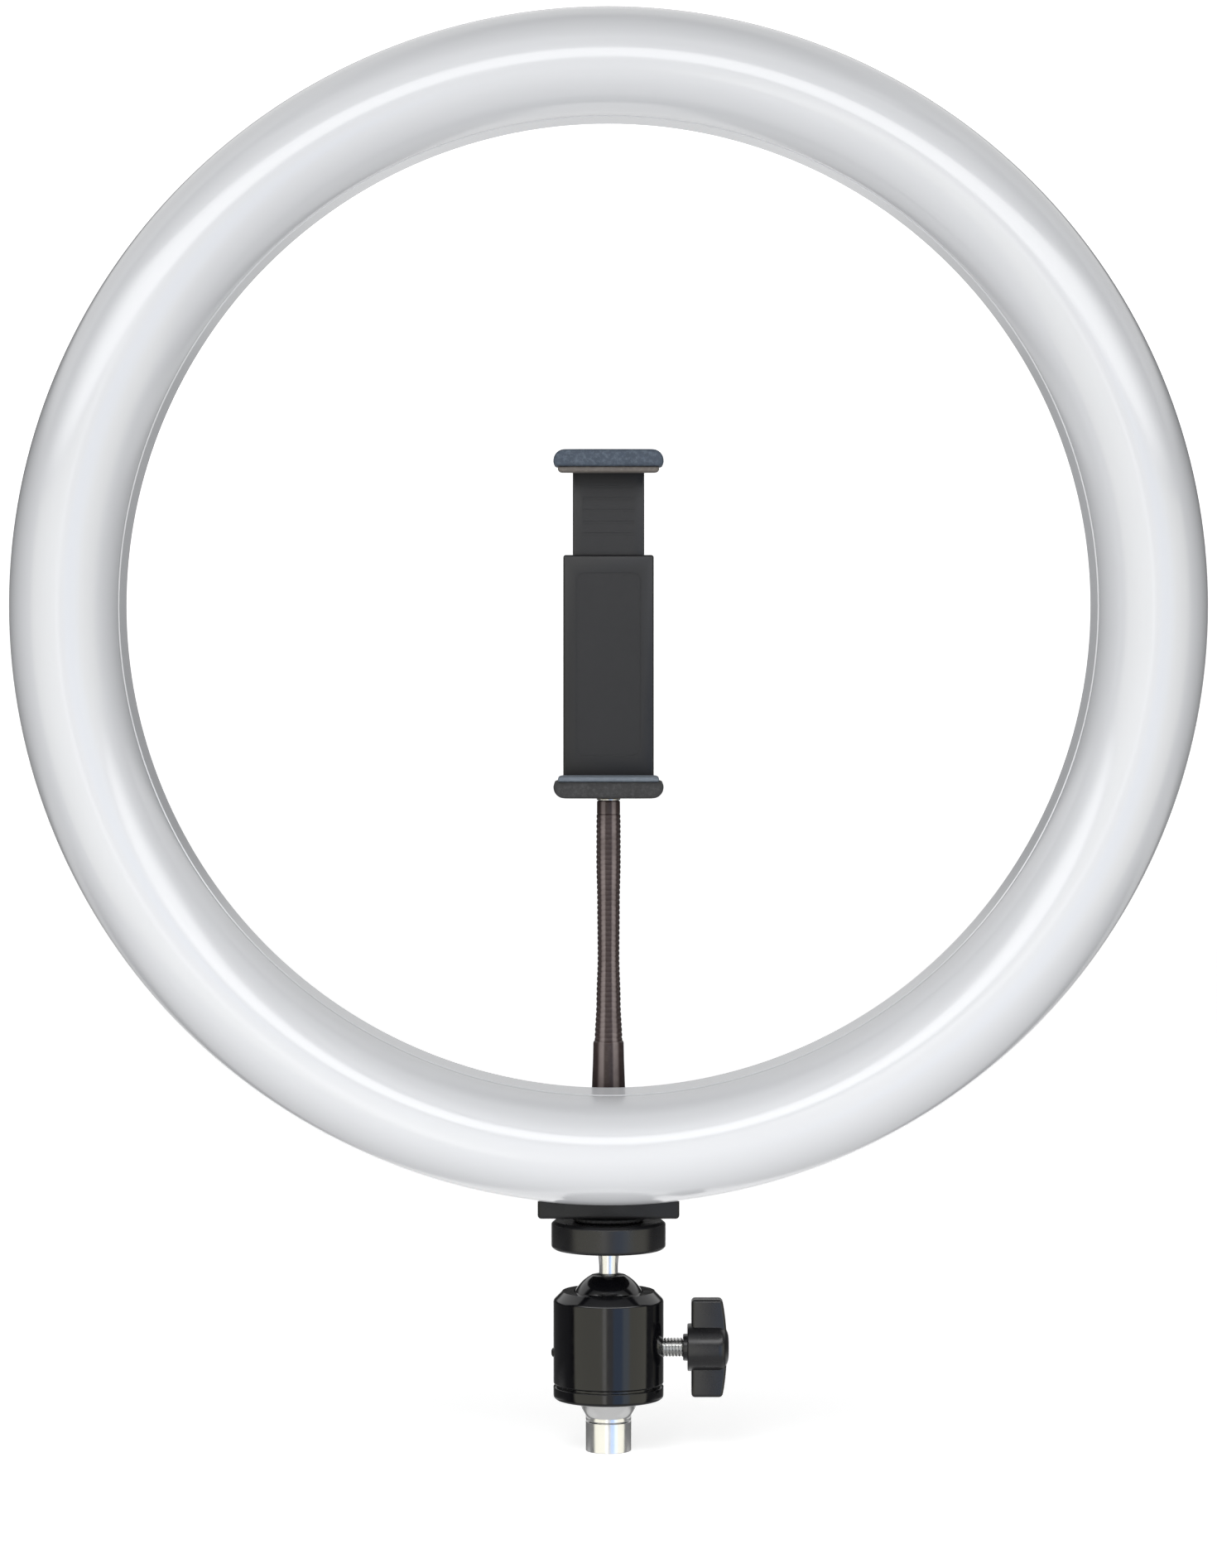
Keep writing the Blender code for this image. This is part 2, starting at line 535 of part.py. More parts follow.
def control_board(controls):
    """The small board behind the buttons, with a switch stub under each."""
    row = -CONTROL.row_r
    board = block("control_board", (-CONTROL.half_length, -CONTROL.front, row - CONTROL.half_width),
                  (CONTROL.half_length, -CONTROL.rear, row + CONTROL.half_width), GREEN_BOARD)
    board.parent = controls
    middle = (CONTROL.rear + CONTROL.front) / 2
    stubs = rods("control_switches", [along_front(place, CONTROL.switch_rear, middle, CONTROL.switch_r)
                                      for place in button_places()], SCREW_STEPS)
    stubs.parent = controls
    join(board, stubs)


def buttons(controls):
    """Four push buttons held behind the cover by their flanges."""
    outline = [(0, BUTTON.flange_front), (BUTTON.flange_r, BUTTON.flange_front),
               (BUTTON.flange_r, BUTTON.flange_rear), (BUTTON.r, BUTTON.flange_rear),
               (BUTTON.r, BUTTON.rear + BUTTON.edge), (BUTTON.r - BUTTON.edge, BUTTON.rear),
               (0, BUTTON.rear)]
    for name, place in zip(BUTTONS, button_places()):
        turned(name, outline, RUBBER, SMALL_STEPS, centre=place, aim=FRONT).parent = controls


def power_socket(controls):
    """The socket for the power lead: a rounded metal shell round a tongue."""
    row, middle = -CONTROL.row_r, CONTROL.socket_x
    shell = rounded_slot("power_socket", middle, row, SOCKET.half_w, SOCKET.half_h,
                         SOCKET.rear, SOCKET.front, ZINC)
    hollow = rounded_slot("socket_hollow", middle, row, SOCKET.half_w - SOCKET.shell,
                          SOCKET.half_h - SOCKET.shell, SOCKET.rear - FIT.overshoot, SOCKET.floor, None)
    tongue = block("socket_tongue", (middle - SOCKET.tongue_half_w, -SOCKET.floor - SOCKET.shell / 2,
                                     row - SOCKET.tongue_half_h),
                   (middle + SOCKET.tongue_half_w, -SOCKET.tongue_rear, row + SOCKET.tongue_half_h), None)
    for piece in (shell, hollow, tongue):
        piece.parent = controls
    cut(shell, hollow)
    join(shell, tongue)


def rounded_slot(name, middle, row, half_w, half_h, rear, front, finish):
    """A bar along the ring's axis with a stadium section."""
    bm = bmesh.new()
    bmesh.ops.create_cube(bm, size=1.0)
    bmesh.ops.scale(bm, vec=(2 * half_w, front - rear, 2 * half_h), verts=bm.verts)
    along = [e for e in bm.edges if abs(e.verts[0].co.y - e.verts[1].co.y) > FIT.merge]
    bmesh.ops.bevel(bm, geom=along, offset=half_h * SLOT_ROUNDNESS,
                    segments=SLOT_CORNER_STEPS, profile=0.5, affect="EDGES")
    mesh = bpy.data.meshes.new(name)
    bm.to_mesh(mesh)
    bm.free()
    obj = link(name, mesh, finish)
    obj.location = (middle, -(rear + front) / 2, row)
    return obj


def led_lead(controls):
    """The lead that climbs from the end of the control board to the light board."""
    first, last = LEAD_ARC
    points = []
    for i in range(LEAD_SPANS + 1):
        share = i / LEAD_SPANS
        angle = first + (last - first) * share
        rise = LEAD.low + (LEAD.high - LEAD.low) * (1 - math.cos(math.pi * share)) / 2
        points.append((CONTROL.row_r * math.sin(angle), -rise, -CONTROL.row_r * math.cos(angle)))
    wire("led_lead", points, LEAD.r, RUBBER).parent = controls


def wire(name, points, radius, finish, roundness=1):
    """A round wire through the points."""
    curve = bpy.data.curves.new(name, "CURVE")
    curve.dimensions = "3D"
    curve.bevel_depth = radius
    curve.bevel_resolution = roundness
    curve.use_fill_caps = True
    spline = curve.splines.new("POLY")
    spline.points.add(len(points) - 1)
    for point, place in zip(spline.points, points):
        point.co = (*place, 1.0)
    return link(name, curve, finish)


def mount_bracket(ring):
    """The foot under the ring and the upright behind it, in one moulding."""
    foot = block("mount_bracket", (-BRACKET.half_w, BRACKET.front, BRACKET.low),
                 (BRACKET.half_w, BRACKET.rear, BRACKET.foot_top), BLACK_PLASTIC, edge=BRACKET.edge)
    side = BRACKET.half_w - FIT.merge
    upright = block("bracket_upright", (-side, BRACKET.upright_front, BRACKET.upright_low),
                    (side, BRACKET.rear - FIT.merge, BRACKET.top), None, edge=BRACKET.edge)
    join(foot, upright)
    centre = (0, 0, RING.z)
    space = ((0, BRACKET.front - FIT.overshoot, centre[2]), (0, BRACKET.trim_y, centre[2]),
             RING.outer_r + BRACKET.ring_clearance)
    room = rods("bracket_ring_room", [space], RING_STEPS)
    cut(foot, room)
    bores = [((0, 0, BRACKET.low - FIT.overshoot), (0, 0, BRACKET.insert_bore_top), BRACKET.insert_bore_r),
             ((0, 0, BRACKET.neck_bore_low), (0, 0, BRACKET.top + FIT.overshoot), BRACKET.neck_bore_r)]
    bores += [along_front(place, -BRACKET.rear - FIT.overshoot, -BRACKET.trim_y + FIT.overshoot, RING.hole_r)
              for place in bracket_screw_places()]
    cut(foot, rods("bracket_bores", bores))
    cut(foot, rods("bracket_counterbores",
                   [along_front(place, -BRACKET.rear - FIT.overshoot, -BRACKET.counterbore_y,
                                BRACKET.counterbore_r) for place in bracket_screw_places()]))
    hang(foot, ring)


def bracket_screws(ring):
    """Two screws that hold the upright to the rear tray."""
    screw, edge = BRACKET_SCREW, CASE_SCREW.edge
    outline = [(0, screw.tip), (RING.screw_r, screw.tip - edge), (RING.screw_r, screw.under_head),
               (screw.head_r, screw.under_head), (screw.head_r, screw.head_rear + edge),
               (screw.head_r - edge, screw.head_rear), (CASE_SCREW.recess_r, screw.head_rear),
               (CASE_SCREW.recess_r, screw.head_rear + CASE_SCREW.recess),
               (0, screw.head_rear + CASE_SCREW.recess)]
    for side, place in zip(("left", "right"), bracket_screw_places()):
        name = "bracket_screw_" + side
        hang(turned(name, outline, ZINC, SCREW_STEPS, centre=place, aim=FRONT), ring)


def thread_insert(ring):
    """The brass nut in the foot that the stud screws into."""
    outline = [(INSERT.r, INSERT.top), (INSERT.r, INSERT.low), (INSERT.bore_r, INSERT.low),
               (INSERT.bore_r, INSERT.top)]
    hang(turned("thread_insert", outline, BRASS, SMALL_STEPS, closed=True), ring)


# ---------------------------------------------------------------- bendable arm

def neck_radius(z):
    """The arm narrows from the collar to a waist and widens a little again above it."""
    stations = ((NECK.collar_z, NECK.collar_r), (NECK.waist_z, NECK.waist_r),
                (NECK.upper_z, NECK.upper_r), (NECK.end_z, NECK.end_r))
    for (low, low_r), (high, high_r) in zip(stations, stations[1:]):
        if z <= high:
            share = max(z - low, 0.0) / (high - low)
            return low_r + (high_r - low_r) * share
    return NECK.end_r


def pivot_z(number):
    """The height of a pivot of the arm, counted from 1 at the collar."""
    return NECK.first_pivot + (number - 1) * NECK.pitch


def neck_collar(ring):
    """The tapered collar, with the threaded end that screws into the bracket."""
    outline = [(0, COLLAR.top), (COLLAR.top_r - COLLAR.edge, COLLAR.top),
               (COLLAR.top_r, COLLAR.top - COLLAR.edge), (COLLAR.low_r, COLLAR.low),
               (COLLAR.stud_r, COLLAR.low), (COLLAR.stud_r, COLLAR.stud_low), (0, COLLAR.stud_low)]
    hang(turned("neck_collar", outline, NECK_COVER, SLIM_STEPS), ring)


def cup_end(z):
    """The hollow end of a segment, round the pivot above it, from its middle to its rim."""
    rim = -math.degrees(math.asin(NECK.mouth / NECK.cup_r))
    points = arc((0, z), (NECK.cup_r, NECK.cup_r), -90, rim, 3)
    points[0] = (0, z - NECK.cup_r)
    return points


def ball_end(z):
    """The rounded end of a segment, on the pivot below it, from its side to its tip."""
    points = arc((0, z), (NECK.ball_r, NECK.ball_r), 0, -90, 3)
    points[-1] = (0, z - NECK.ball_r)
    return points


def neck_segment(number, carrier):
    """One stiff segment of the arm, from its own pivot to the next."""
    last = number == NECK_PIVOTS
    top = NECK.last_top if last else pivot_z(number + 1) - NECK.mouth
    low = pivot_z(number) + NECK.mouth if number else NECK.first_low
    outline = [(0, top)] if last else cup_end(pivot_z(number + 1))
    outline += [(neck_radius(top), top), (neck_radius(low), low)]
    outline += ball_end(pivot_z(number)) if number else [(0, low)]
    centre = (0, 0, pivot_z(number) if number else NECK.first_low)
    hang(turned("neck_segment_%d" % number, outline, NECK_COVER, SMALL_STEPS, centre=centre), carrier)


def neck_top_fitting(carrier):
    """The ferrule at the top of the arm, with the stud for the clamp."""
    outline = [(0, FITTING.stud_top), (FITTING.stud_r, FITTING.stud_top), (FITTING.stud_r, FITTING.top),
               (FITTING.r - FITTING.edge, FITTING.top), (FITTING.r, FITTING.top - FITTING.edge),
               (FITTING.r, FITTING.low), (0, FITTING.low)]
    hang(turned("neck_top_fitting", outline, ZINC, SMALL_STEPS), carrier)


def neck(ring):
    """The collar, seven segments on six pivots, and the ferrule; returns the last carrier."""
    neck_collar(ring)
    neck_segment(0, ring)
    carrier = ring
    for number in range(1, NECK_PIVOTS + 1):
        carrier = frame("neck_pivot_%d" % number, (0, 0, pivot_z(number)), parent=carrier)
        neck_segment(number, carrier)
    neck_top_fitting(carrier)
    return carrier


# ---------------------------------------------------------------- phone clamp

def clamp_body(clamp):
    """The lower jaw and the channel behind the phone."""
    body = block("clamp_body", (-JAW.half_w, JAW.front, JAW.lower_low),
                 (JAW.half_w, JAW.rear, JAW.lower_top),
                 FOAM_GREY, edge=JAW.edge, corners=-1, corner=JAW.corner)
    spine = block("clamp_spine", (-SPINE.half_w, SPINE.front, SPINE.low),
                  (SPINE.half_w, SPINE.rear, SPINE.top), None, edge=SPINE.edge)
    join(body, spine)
    half = SPINE.channel_half_w
    channel = block("clamp_channel", (-half, SPINE.channel_front, SPINE.channel_low),
                    (half, SPINE.rear + FIT.overshoot, SPINE.top + FIT.overshoot), None)
    cut(body, channel)
    seat = CLAMP_INSERT
    bores = [((0, 0, JAW.lower_low - FIT.overshoot), (0, 0, seat.seat_top), seat.seat_r)]
    bores += [((x, COVER_SCREW.hole_front, COVER_SCREW.z), (x, JAW.rear + FIT.overshoot, COVER_SCREW.z),
               COVER_SCREW.hole_r) for x in (-COVER_SCREW.x, COVER_SCREW.x)]
    cut(body, rods("clamp_bores", bores))
    hang(body, clamp)


def clamp_cover(clamp):
    """The plate that closes the channel from behind, and its two screws."""
    plate = block("clamp_cover", (-SPINE.half_w, CLAMP_COVER.front, CLAMP_COVER.low),
                  (SPINE.half_w, CLAMP_COVER.rear, CLAMP_COVER.top), SATIN_BLACK, edge=CLAMP_COVER.edge)
    holes = [((x, CLAMP_COVER.front - FIT.overshoot, COVER_SCREW.z),
              (x, CLAMP_COVER.rear + FIT.overshoot, COVER_SCREW.z), COVER_SCREW.hole_r)
             for x in (-COVER_SCREW.x, COVER_SCREW.x)]
    cut(plate, rods("clamp_cover_holes", holes, SCREW_STEPS))
    hang(plate, clamp)
    screw, edge = COVER_SCREW, FITTING.edge
    outline = [(0, -screw.tip), (screw.r, -screw.tip - edge), (screw.r, -screw.under_head),
               (screw.head_r, -screw.under_head), (screw.head_r, -screw.head_rear + edge),
               (screw.head_r - edge, -screw.head_rear), (0, -screw.head_rear)]
    for number, x in enumerate((-screw.x, screw.x), 1):
        name = "clamp_cover_screw_%d" % number
        hang(turned(name, outline, ZINC, SCREW_STEPS, centre=(x, 0, screw.z), aim=FRONT), clamp)


def clamp_insert(clamp):
    """The brass nut in the lower jaw."""
    nut = CLAMP_INSERT
    outline = [(nut.r, nut.top), (nut.r, nut.low), (nut.bore_r, nut.low), (nut.bore_r, nut.top)]
    hang(turned("clamp_insert", outline, BRASS, SMALL_STEPS, closed=True), clamp)


def clamp_slider(slide):
    """The upper jaw on its sliding plate, slotted for the spring."""
    jaw = block("clamp_slider", (-JAW.half_w, JAW.front, JAW.upper_low),
                (JAW.half_w, JAW.rear, JAW.upper_top),
                FOAM_BLUE, edge=JAW.edge, corners=1, corner=JAW.corner)
    plate = block("slider_plate", (-SLIDER.half_w, SLIDER.front, SLIDER.low),
                  (SLIDER.half_w, SLIDER.rear, SLIDER.top), None)
    reach = FIT.overshoot
    slot = block("slider_slot", (-SLIDER.slot_half_w, SLIDER.front - reach, SLIDER.low - reach),
                 (SLIDER.slot_half_w, SLIDER.rear + reach, SLIDER.slot_top), None)
    join(jaw, plate)
    cut(jaw, slot)
    hang(jaw, slide)


def grip_pads(clamp, slide):
    """The soft pads that the phone's edges press on."""
    lower = block("lower_pad", (-GRIP.half_w, GRIP.front, GRIP.lower_low),
                  (GRIP.half_w, GRIP.rear, GRIP.lower_top), FOAM_GREY, edge=GRIP.edge)
    upper = block("upper_pad", (-GRIP.half_w, GRIP.front, GRIP.upper_low),
                  (GRIP.half_w, GRIP.rear, GRIP.upper_top), FOAM_BLUE, edge=GRIP.edge)
    hang(lower, clamp)
    hang(upper, slide)


def clamp_spring(clamp):
    """The spring that draws the upper jaw down."""
    count = SPRING_TURNS * SPRING_POINTS_PER_TURN
    points = []
    for i in range(count + 1):
        angle = math.tau * i / SPRING_POINTS_PER_TURN
        points.append((SPRING.coil_r * math.cos(angle), SPRING.y + SPRING.coil_r * math.sin(angle),
                       SPRING.low + (SPRING.top - SPRING.low) * i / count))
    hang(wire("clamp_spring", points, SPRING.wire_r, ZINC, roundness=0), clamp)


# ---------------------------------------------------------------- assembly

def ball_head():
    """The post and the head on it; returns the frame that the light stands on."""
    root = frame("post_axis", (0, 0, 0))
    post(root)
    head = frame("head_axis", (0, 0, CAP.low), parent=root)
    base_cap(head)
    ball_housing(head)
    brake_shoe(head)
    stop_pin(head)
    carriage = frame("clamp_screw_axis", (0, 0, CLAMP_SCREW.z), parent=head)
    clamp_screw(carriage)
    knob(carriage)
    seat = frame("ball_pan_axis", (0, 0, BALL.z), parent=head)
    ball_seat(seat)
    tilt = frame("ball_tilt_axis", (0, 0, BALL.z), parent=seat)
    ball(tilt)
    ball_stem(tilt)
    lock = frame("lock_wheel_axis", (0, 0, WHEEL.low), parent=tilt)
    lock_wheel(lock)
    lock_pad(lock)
    return tilt


def ring_head(tilt):
    """The light itself with its foot; returns its frame."""
    ring = frame("ring_swivel_axis", (0, 0, BRACKET.low), parent=tilt)
    controls = frame("controls", (0, 0, RING.z), turn=(0, CONTROL_TURN, 0), parent=ring)
    diffuser(ring)
    back_cover(ring, controls)
    case_screws(ring)
    led_board(ring)
    control_board(controls)
    buttons(controls)
    power_socket(controls)
    led_lead(controls)
    mount_bracket(ring)
    bracket_screws(ring)
    thread_insert(ring)
    return ring


def phone_clamp(arm_end):
    """The clamp at the top of the arm."""
    clamp = frame("clamp_swivel_axis", (0, 0, JAW.lower_low), parent=arm_end)
    slide = frame("jaw_slide_axis", (0, SLIDER.front, JAW.upper_low), parent=clamp)
    clamp_body(clamp)
    clamp_cover(clamp)
    clamp_insert(clamp)
    clamp_slider(slide)
    grip_pads(clamp, slide)
    clamp_spring(clamp)


phone_clamp(neck(ring_head(ball_head())))
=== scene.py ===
"""The ring light's visual model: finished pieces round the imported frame, a studio and a camera.

Lengths in this script are in millimetres, and become metres when a mesh is made.
"""

import math

import bmesh
import bpy
from mathutils import Matrix, Vector


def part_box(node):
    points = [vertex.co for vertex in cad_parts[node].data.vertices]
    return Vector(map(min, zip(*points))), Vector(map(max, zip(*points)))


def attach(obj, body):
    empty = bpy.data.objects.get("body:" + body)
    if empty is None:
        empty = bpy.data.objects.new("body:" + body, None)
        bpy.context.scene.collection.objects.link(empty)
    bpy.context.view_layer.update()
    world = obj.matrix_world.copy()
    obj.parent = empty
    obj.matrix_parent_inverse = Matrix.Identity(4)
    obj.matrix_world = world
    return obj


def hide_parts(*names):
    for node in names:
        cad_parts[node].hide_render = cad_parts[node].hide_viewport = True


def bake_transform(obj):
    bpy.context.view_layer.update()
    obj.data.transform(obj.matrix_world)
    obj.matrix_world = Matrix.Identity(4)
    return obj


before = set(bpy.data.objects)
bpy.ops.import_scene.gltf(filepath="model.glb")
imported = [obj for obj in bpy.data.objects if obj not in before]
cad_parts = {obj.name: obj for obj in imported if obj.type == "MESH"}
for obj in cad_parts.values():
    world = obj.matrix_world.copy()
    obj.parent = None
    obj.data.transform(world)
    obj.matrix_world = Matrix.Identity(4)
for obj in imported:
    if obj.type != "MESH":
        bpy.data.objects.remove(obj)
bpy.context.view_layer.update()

MM = 0.001
STEPS = 96
RING_STEPS = 256

# Heights above the post's cut end, and the sizes that several pieces share.
RING_Z = 214.1
HOUSING_R = 14.0
PIN_Z, PIN_R = 24.8, 1.25
SCREW_Z, SCREW_R, SCREW_HOLE_R = 26.1, 2.5, 2.8
BALL_Z, BALL_R, CUP_R = 35.9, 9.6, 9.9
STUD_R, STUD_GROOVE, STUD_PITCH = 3.17, 0.3, 1.27
TUBE_R = 5.8
COVER_REAR = 5.8
BRACKET_HALF, BRACKET_REAR = 17.85, 9.5
BRACKET_SCREW_X, BRACKET_SCREW_Z = 11, 78
JAW_HALF, JAW_FRONT, JAW_REAR = 13.9, -10.0, 9.4
PAD_HALF, PAD_FRONT, PAD_REAR = 12.9, -9.0, 1.6
SPINE_HALF, SPINE_TOP = 11.5, 227.0
COVER_SCREW_X, COVER_SCREW_Z = 7, 173
SPRING_LOW, SPRING_HIGH = 176.6, 211.2

# The rotation that aims an outline's axis, which starts along +Z.
UP = Matrix.Identity(4)
FRONT = Matrix.Rotation(math.pi / 2, 4, "X")
REAR = Matrix.Rotation(-math.pi / 2, 4, "X")
RIGHT = Matrix.Rotation(math.pi / 2, 4, "Y")


# ---------------------------------------------------------------- shader helpers

class Graph:
    """Short ways to add and wire shader nodes."""

    def __init__(self, tree):
        self.tree = tree
        tree.nodes.clear()

    def add(self, kind, wires=None, **settings):
        node = self.tree.nodes.new("ShaderNode" + kind)
        for key, value in settings.items():
            setattr(node, key, value)
        for key, value in (wires or {}).items():
            self.wire(node.inputs[key], value)
        return node

    def wire(self, socket, value):
        if isinstance(value, bpy.types.NodeSocket):
            self.tree.links.new(value, socket)
        else:
            socket.default_value = value

    def math(self, operation, *values):
        return self.add("Math", dict(enumerate(values)), operation=operation).outputs[0]

    def dot(self, first, second):
        """The dot product of two vectors."""
        node = self.add("VectorMath", {0: first, 1: second}, operation="DOT_PRODUCT")
        return node.outputs["Value"]

    def product(self, first, *others):
        for other in others:
            first = self.math("MULTIPLY", first, other)
        return first

    def total(self, first, *others):
        for other in others:
            first = self.math("ADD", first, other)
        return first

    def ramp(self, value, low, high, to_low=0.0, to_high=1.0):
        """A smooth step of value from to_low at low to to_high at high."""
        wires = {"Value": value, "From Min": low, "From Max": high,
                 "To Min": to_low, "To Max": to_high}
        return self.add("MapRange", wires, interpolation_type="SMOOTHSTEP").outputs[0]

    def window(self, value, low, high, soft):
        """One between low and high and none outside, with soft edges."""
        rise = self.ramp(value, low - soft, low + soft)
        return self.math("MULTIPLY", rise, self.ramp(value, high - soft, high + soft, 1.0, 0.0))

    def noise(self, place, size, detail=3.0, roughness=0.5):
        wires = {"Vector": place, "Scale": 1 / (size * MM), "Detail": detail,
                 "Roughness": roughness}
        return self.add("TexNoise", wires).outputs[0]

    def mix(self, share, first, second, blend="MIX"):
        node = self.add("Mix", data_type="RGBA", blend_type=blend)
        for number, value in zip((0, 6, 7), (share, first, second)):
            self.wire(node.inputs[number], value)
        return node.outputs[2]

    def colour(self, red, green, blue):
        """A colour out of three numbers or sockets."""
        return self.add("CombineColor", {0: red, 1: green, 2: blue}).outputs[0]

    def end(self, shader, kind="OutputMaterial"):
        """Wire a shader to a new output."""
        self.tree.links.new(shader.outputs[0], self.add(kind).inputs["Surface"])


def new_look(name):
    """An empty material and its graph."""
    look = bpy.data.materials.new(name)
    look.use_nodes = True
    return look, Graph(look.node_tree)


def rgb(red, green, blue, gain=1.0):
    return (red * gain, green * gain, blue * gain, 1.0)


def finish(name, colour, roughness, metallic=0.0, tint=0.1, tint_size=9.0, dull=0.08, dull_size=4.0,
           grain=0.01, grain_size=0.25, wear=0.0, worn=(0.3, 0.3, 0.3), edge=0.25, pits=0.0,
           pit_size=0.6, speckle=0.0, speckle_colour=(0.2, 0.2, 0.2), streaks=None, coat=0.0,
           specular=0.5, glow=0.0, glints=None):
    """A surface with drifting colour and polish, a fine grain, and rubbed edges.

    Sizes are in millimetres. Glints is the colour of two painted highlights: soft lines of light
    painted into the base colour down an upright round piece, either side of its middle.
    """
    look, g = new_look(name)
    place = g.add("TexCoord").outputs["Object"]
    broad = g.noise(place, tint_size)
    base = g.mix(broad, rgb(*colour, 1 - tint), rgb(*colour, 1 + tint))
    polish = g.ramp(g.noise(place, dull_size, 5.0), 0.3, 0.7,
                    roughness - dull / 2, roughness + dull / 2)
    fine = g.noise(place, grain_size, 4.0, 0.6)
    height = g.math("MULTIPLY", fine, grain * MM)
    if streaks:
        height, polish = streaks(g, place, height, polish)
    if speckle:
        spots = g.ramp(g.noise(place, pit_size * 1.7, 5.0, 0.65), 0.42, 0.72, 0.0, speckle)
        base = g.mix(spots, base, rgb(*speckle_colour))
    # Painted highlight: the glints colour is mixed into the base colour in two bands, in place of
    # the glints of two strip lamps.
    if glints:
        share = g.product(painted_highlight_bands(g), g.ramp(broad, 0.3, 0.6, 0.7, 1.0))
        base = g.mix(share, base, rgb(*glints))
    if pits:
        cells = g.add("TexVoronoi", {"Vector": place, "Scale": 1 / (pit_size * MM),
                                     "Randomness": 1.0})
        height = g.total(height, g.ramp(cells.outputs["Distance"], 0.1, 0.6, 0.0, pits * MM))
    bump = g.add("Bump", {"Height": height, "Strength": 1.0, "Distance": 1.0}).outputs[0]
    if wear:
        rounded_normal = g.add("Bevel", {"Radius": edge * MM}, samples=4).outputs[0]
        agree = g.dot(rounded_normal, g.add("NewGeometry").outputs["Normal"])
        patches = g.ramp(g.noise(place, 1.5, 4.0), 0.35, 0.65)
        rubbed = g.product(g.ramp(agree, 0.995, 0.88), patches, wear)
        base = g.mix(rubbed, base, rgb(*worn))
        polish = g.total(polish, g.math("MULTIPLY", rubbed, 0.15))
    wires = {"Base Color": base, "Metallic": metallic, "Roughness": polish, "Normal": bump,
             "Specular IOR Level": specular, "Coat Weight": coat, "Coat Roughness": 0.08}
    if glow:
        wires.update({"Subsurface Weight": glow, "Subsurface Scale": 2 * MM,
                      "Subsurface Radius": (1.0, 1.0, 1.0)})
    g.end(g.add("BsdfPrincipled", wires))
    return look


def painted_highlight_bands(g):
    """One on two bands of painted highlight down an upright round piece, either side of the middle
    as it is seen.
    """
    shape = g.add("NewGeometry").outputs
    level = []
    for name in ("Normal", "Incoming"):
        flat = g.add("VectorMath", {0: shape[name], 1: (1, 1, 0)}, operation="MULTIPLY").outputs[0]
        level.append(g.add("VectorMath", {0: flat}, operation="NORMALIZE").outputs[0])
    # The bands follow how the surface turns away from the camera, so they paint in the glints of
    # two strip lamps.
    turned = g.math("SUBTRACT", 1.0, g.dot(*level))
    return g.product(g.ramp(turned, 0.02, 0.07), g.ramp(turned, 0.14, 0.3, 1.0, 0.0))


def ring_streaks(g, place, height, polish):
    """Faint moulding lines that run round the ring."""
    x, _, z = g.add("SeparateXYZ", {0: place}).outputs
    up = g.math("SUBTRACT", z, RING_Z * MM)
    radius = g.math("SQRT", g.total(g.math("MULTIPLY", x, x), g.math("MULTIPLY", up, up)))
    angle = g.math("ARCTAN2", x, up)
    around = g.add("CombineXYZ", {0: g.math("DIVIDE", radius, 1.6),
                                  1: g.math("MULTIPLY", angle, 0.0022)})
    lines = g.noise(around.outputs[0], 0.7, 3.0, 0.6)
    height = g.total(height, g.math("MULTIPLY", lines, 0.006 * MM))
    return height, g.total(polish, g.ramp(lines, 0.45, 0.7, -0.015, 0.035))


def turning_streaks(axis):
    """Fine tool lines round a turned piece, stacked along its axis."""
    def streaks(g, place, height, polish):
        along = g.add("SeparateXYZ", {0: place}).outputs[axis]
        lines = g.noise(g.add("CombineXYZ", {axis: along}).outputs[0], 0.12, 3.0, 0.7)
        height = g.total(height, g.math("MULTIPLY", lines, 0.002 * MM))
        return height, g.total(polish, g.ramp(lines, 0.3, 0.7, -0.02, 0.03))
    return streaks


# ---------------------------------------------------------------- finishes

MILKY = finish("milky_acrylic", (0.655, 0.665, 0.685), 0.16, tint=0.015, tint_size=60, dull=0.03,
               dull_size=20, grain=0.002, grain_size=1.2, streaks=ring_streaks, coat=0.1)
BLACK_PLASTIC = finish("moulded_black", (0.014, 0.014, 0.0145), 0.45, tint=0.25, dull=0.12,
                       grain=0.035, grain_size=0.3, wear=0.35, worn=(0.07, 0.07, 0.07),
                       specular=0.3)
SATIN_BLACK = finish("satin_black", (0.009, 0.009, 0.010), 0.28, tint=0.2, dull=0.06, grain=0.008,
                     grain_size=0.25, wear=0.3, worn=(0.1, 0.1, 0.1))
CLAMP_BLACK = finish("clamp_black", (0.008, 0.008, 0.009), 0.4, tint=0.15, tint_size=14, dull=0.05,
                     dull_size=8, grain=0.007, grain_size=0.5, specular=0.38)
GLOSS_BLACK = finish("gloss_black", (0.003, 0.003, 0.004), 0.12, tint=0.2, dull=0.07, dull_size=2.5,
                     grain=0.002, grain_size=0.35, wear=0.45, worn=(0.3, 0.3, 0.3), edge=0.15,
                     streaks=turning_streaks(2))
CHROME = finish("bright_chrome", (0.84, 0.84, 0.84), 0.2, metallic=0.85, tint=0.04, dull=0.06,
                dull_size=3, grain=0.0015, grain_size=0.3, streaks=turning_streaks(2))
ZINC = finish("zinc_steel", (0.66, 0.66, 0.65), 0.26, metallic=1.0, tint=0.08, dull=0.14,
              dull_size=1.2, grain=0.004, grain_size=0.15)
BRASS = finish("turned_brass", (0.62, 0.45, 0.19), 0.28, metallic=1.0, tint=0.1, dull=0.12,
               grain=0.004, grain_size=0.2)
# The neck cover's glints colour is a painted highlight: two lighter bands down either side of its
# middle.
NECK_RUBBER = finish("neck_cover", (0.035, 0.023, 0.022), 0.38, tint=0.18, tint_size=5, dull=0.1,
                     dull_size=2, grain=0.012, grain_size=0.3, speckle=0.2,
                     speckle_colour=(0.10, 0.08, 0.075), glints=(0.19, 0.158, 0.152), specular=0.25)
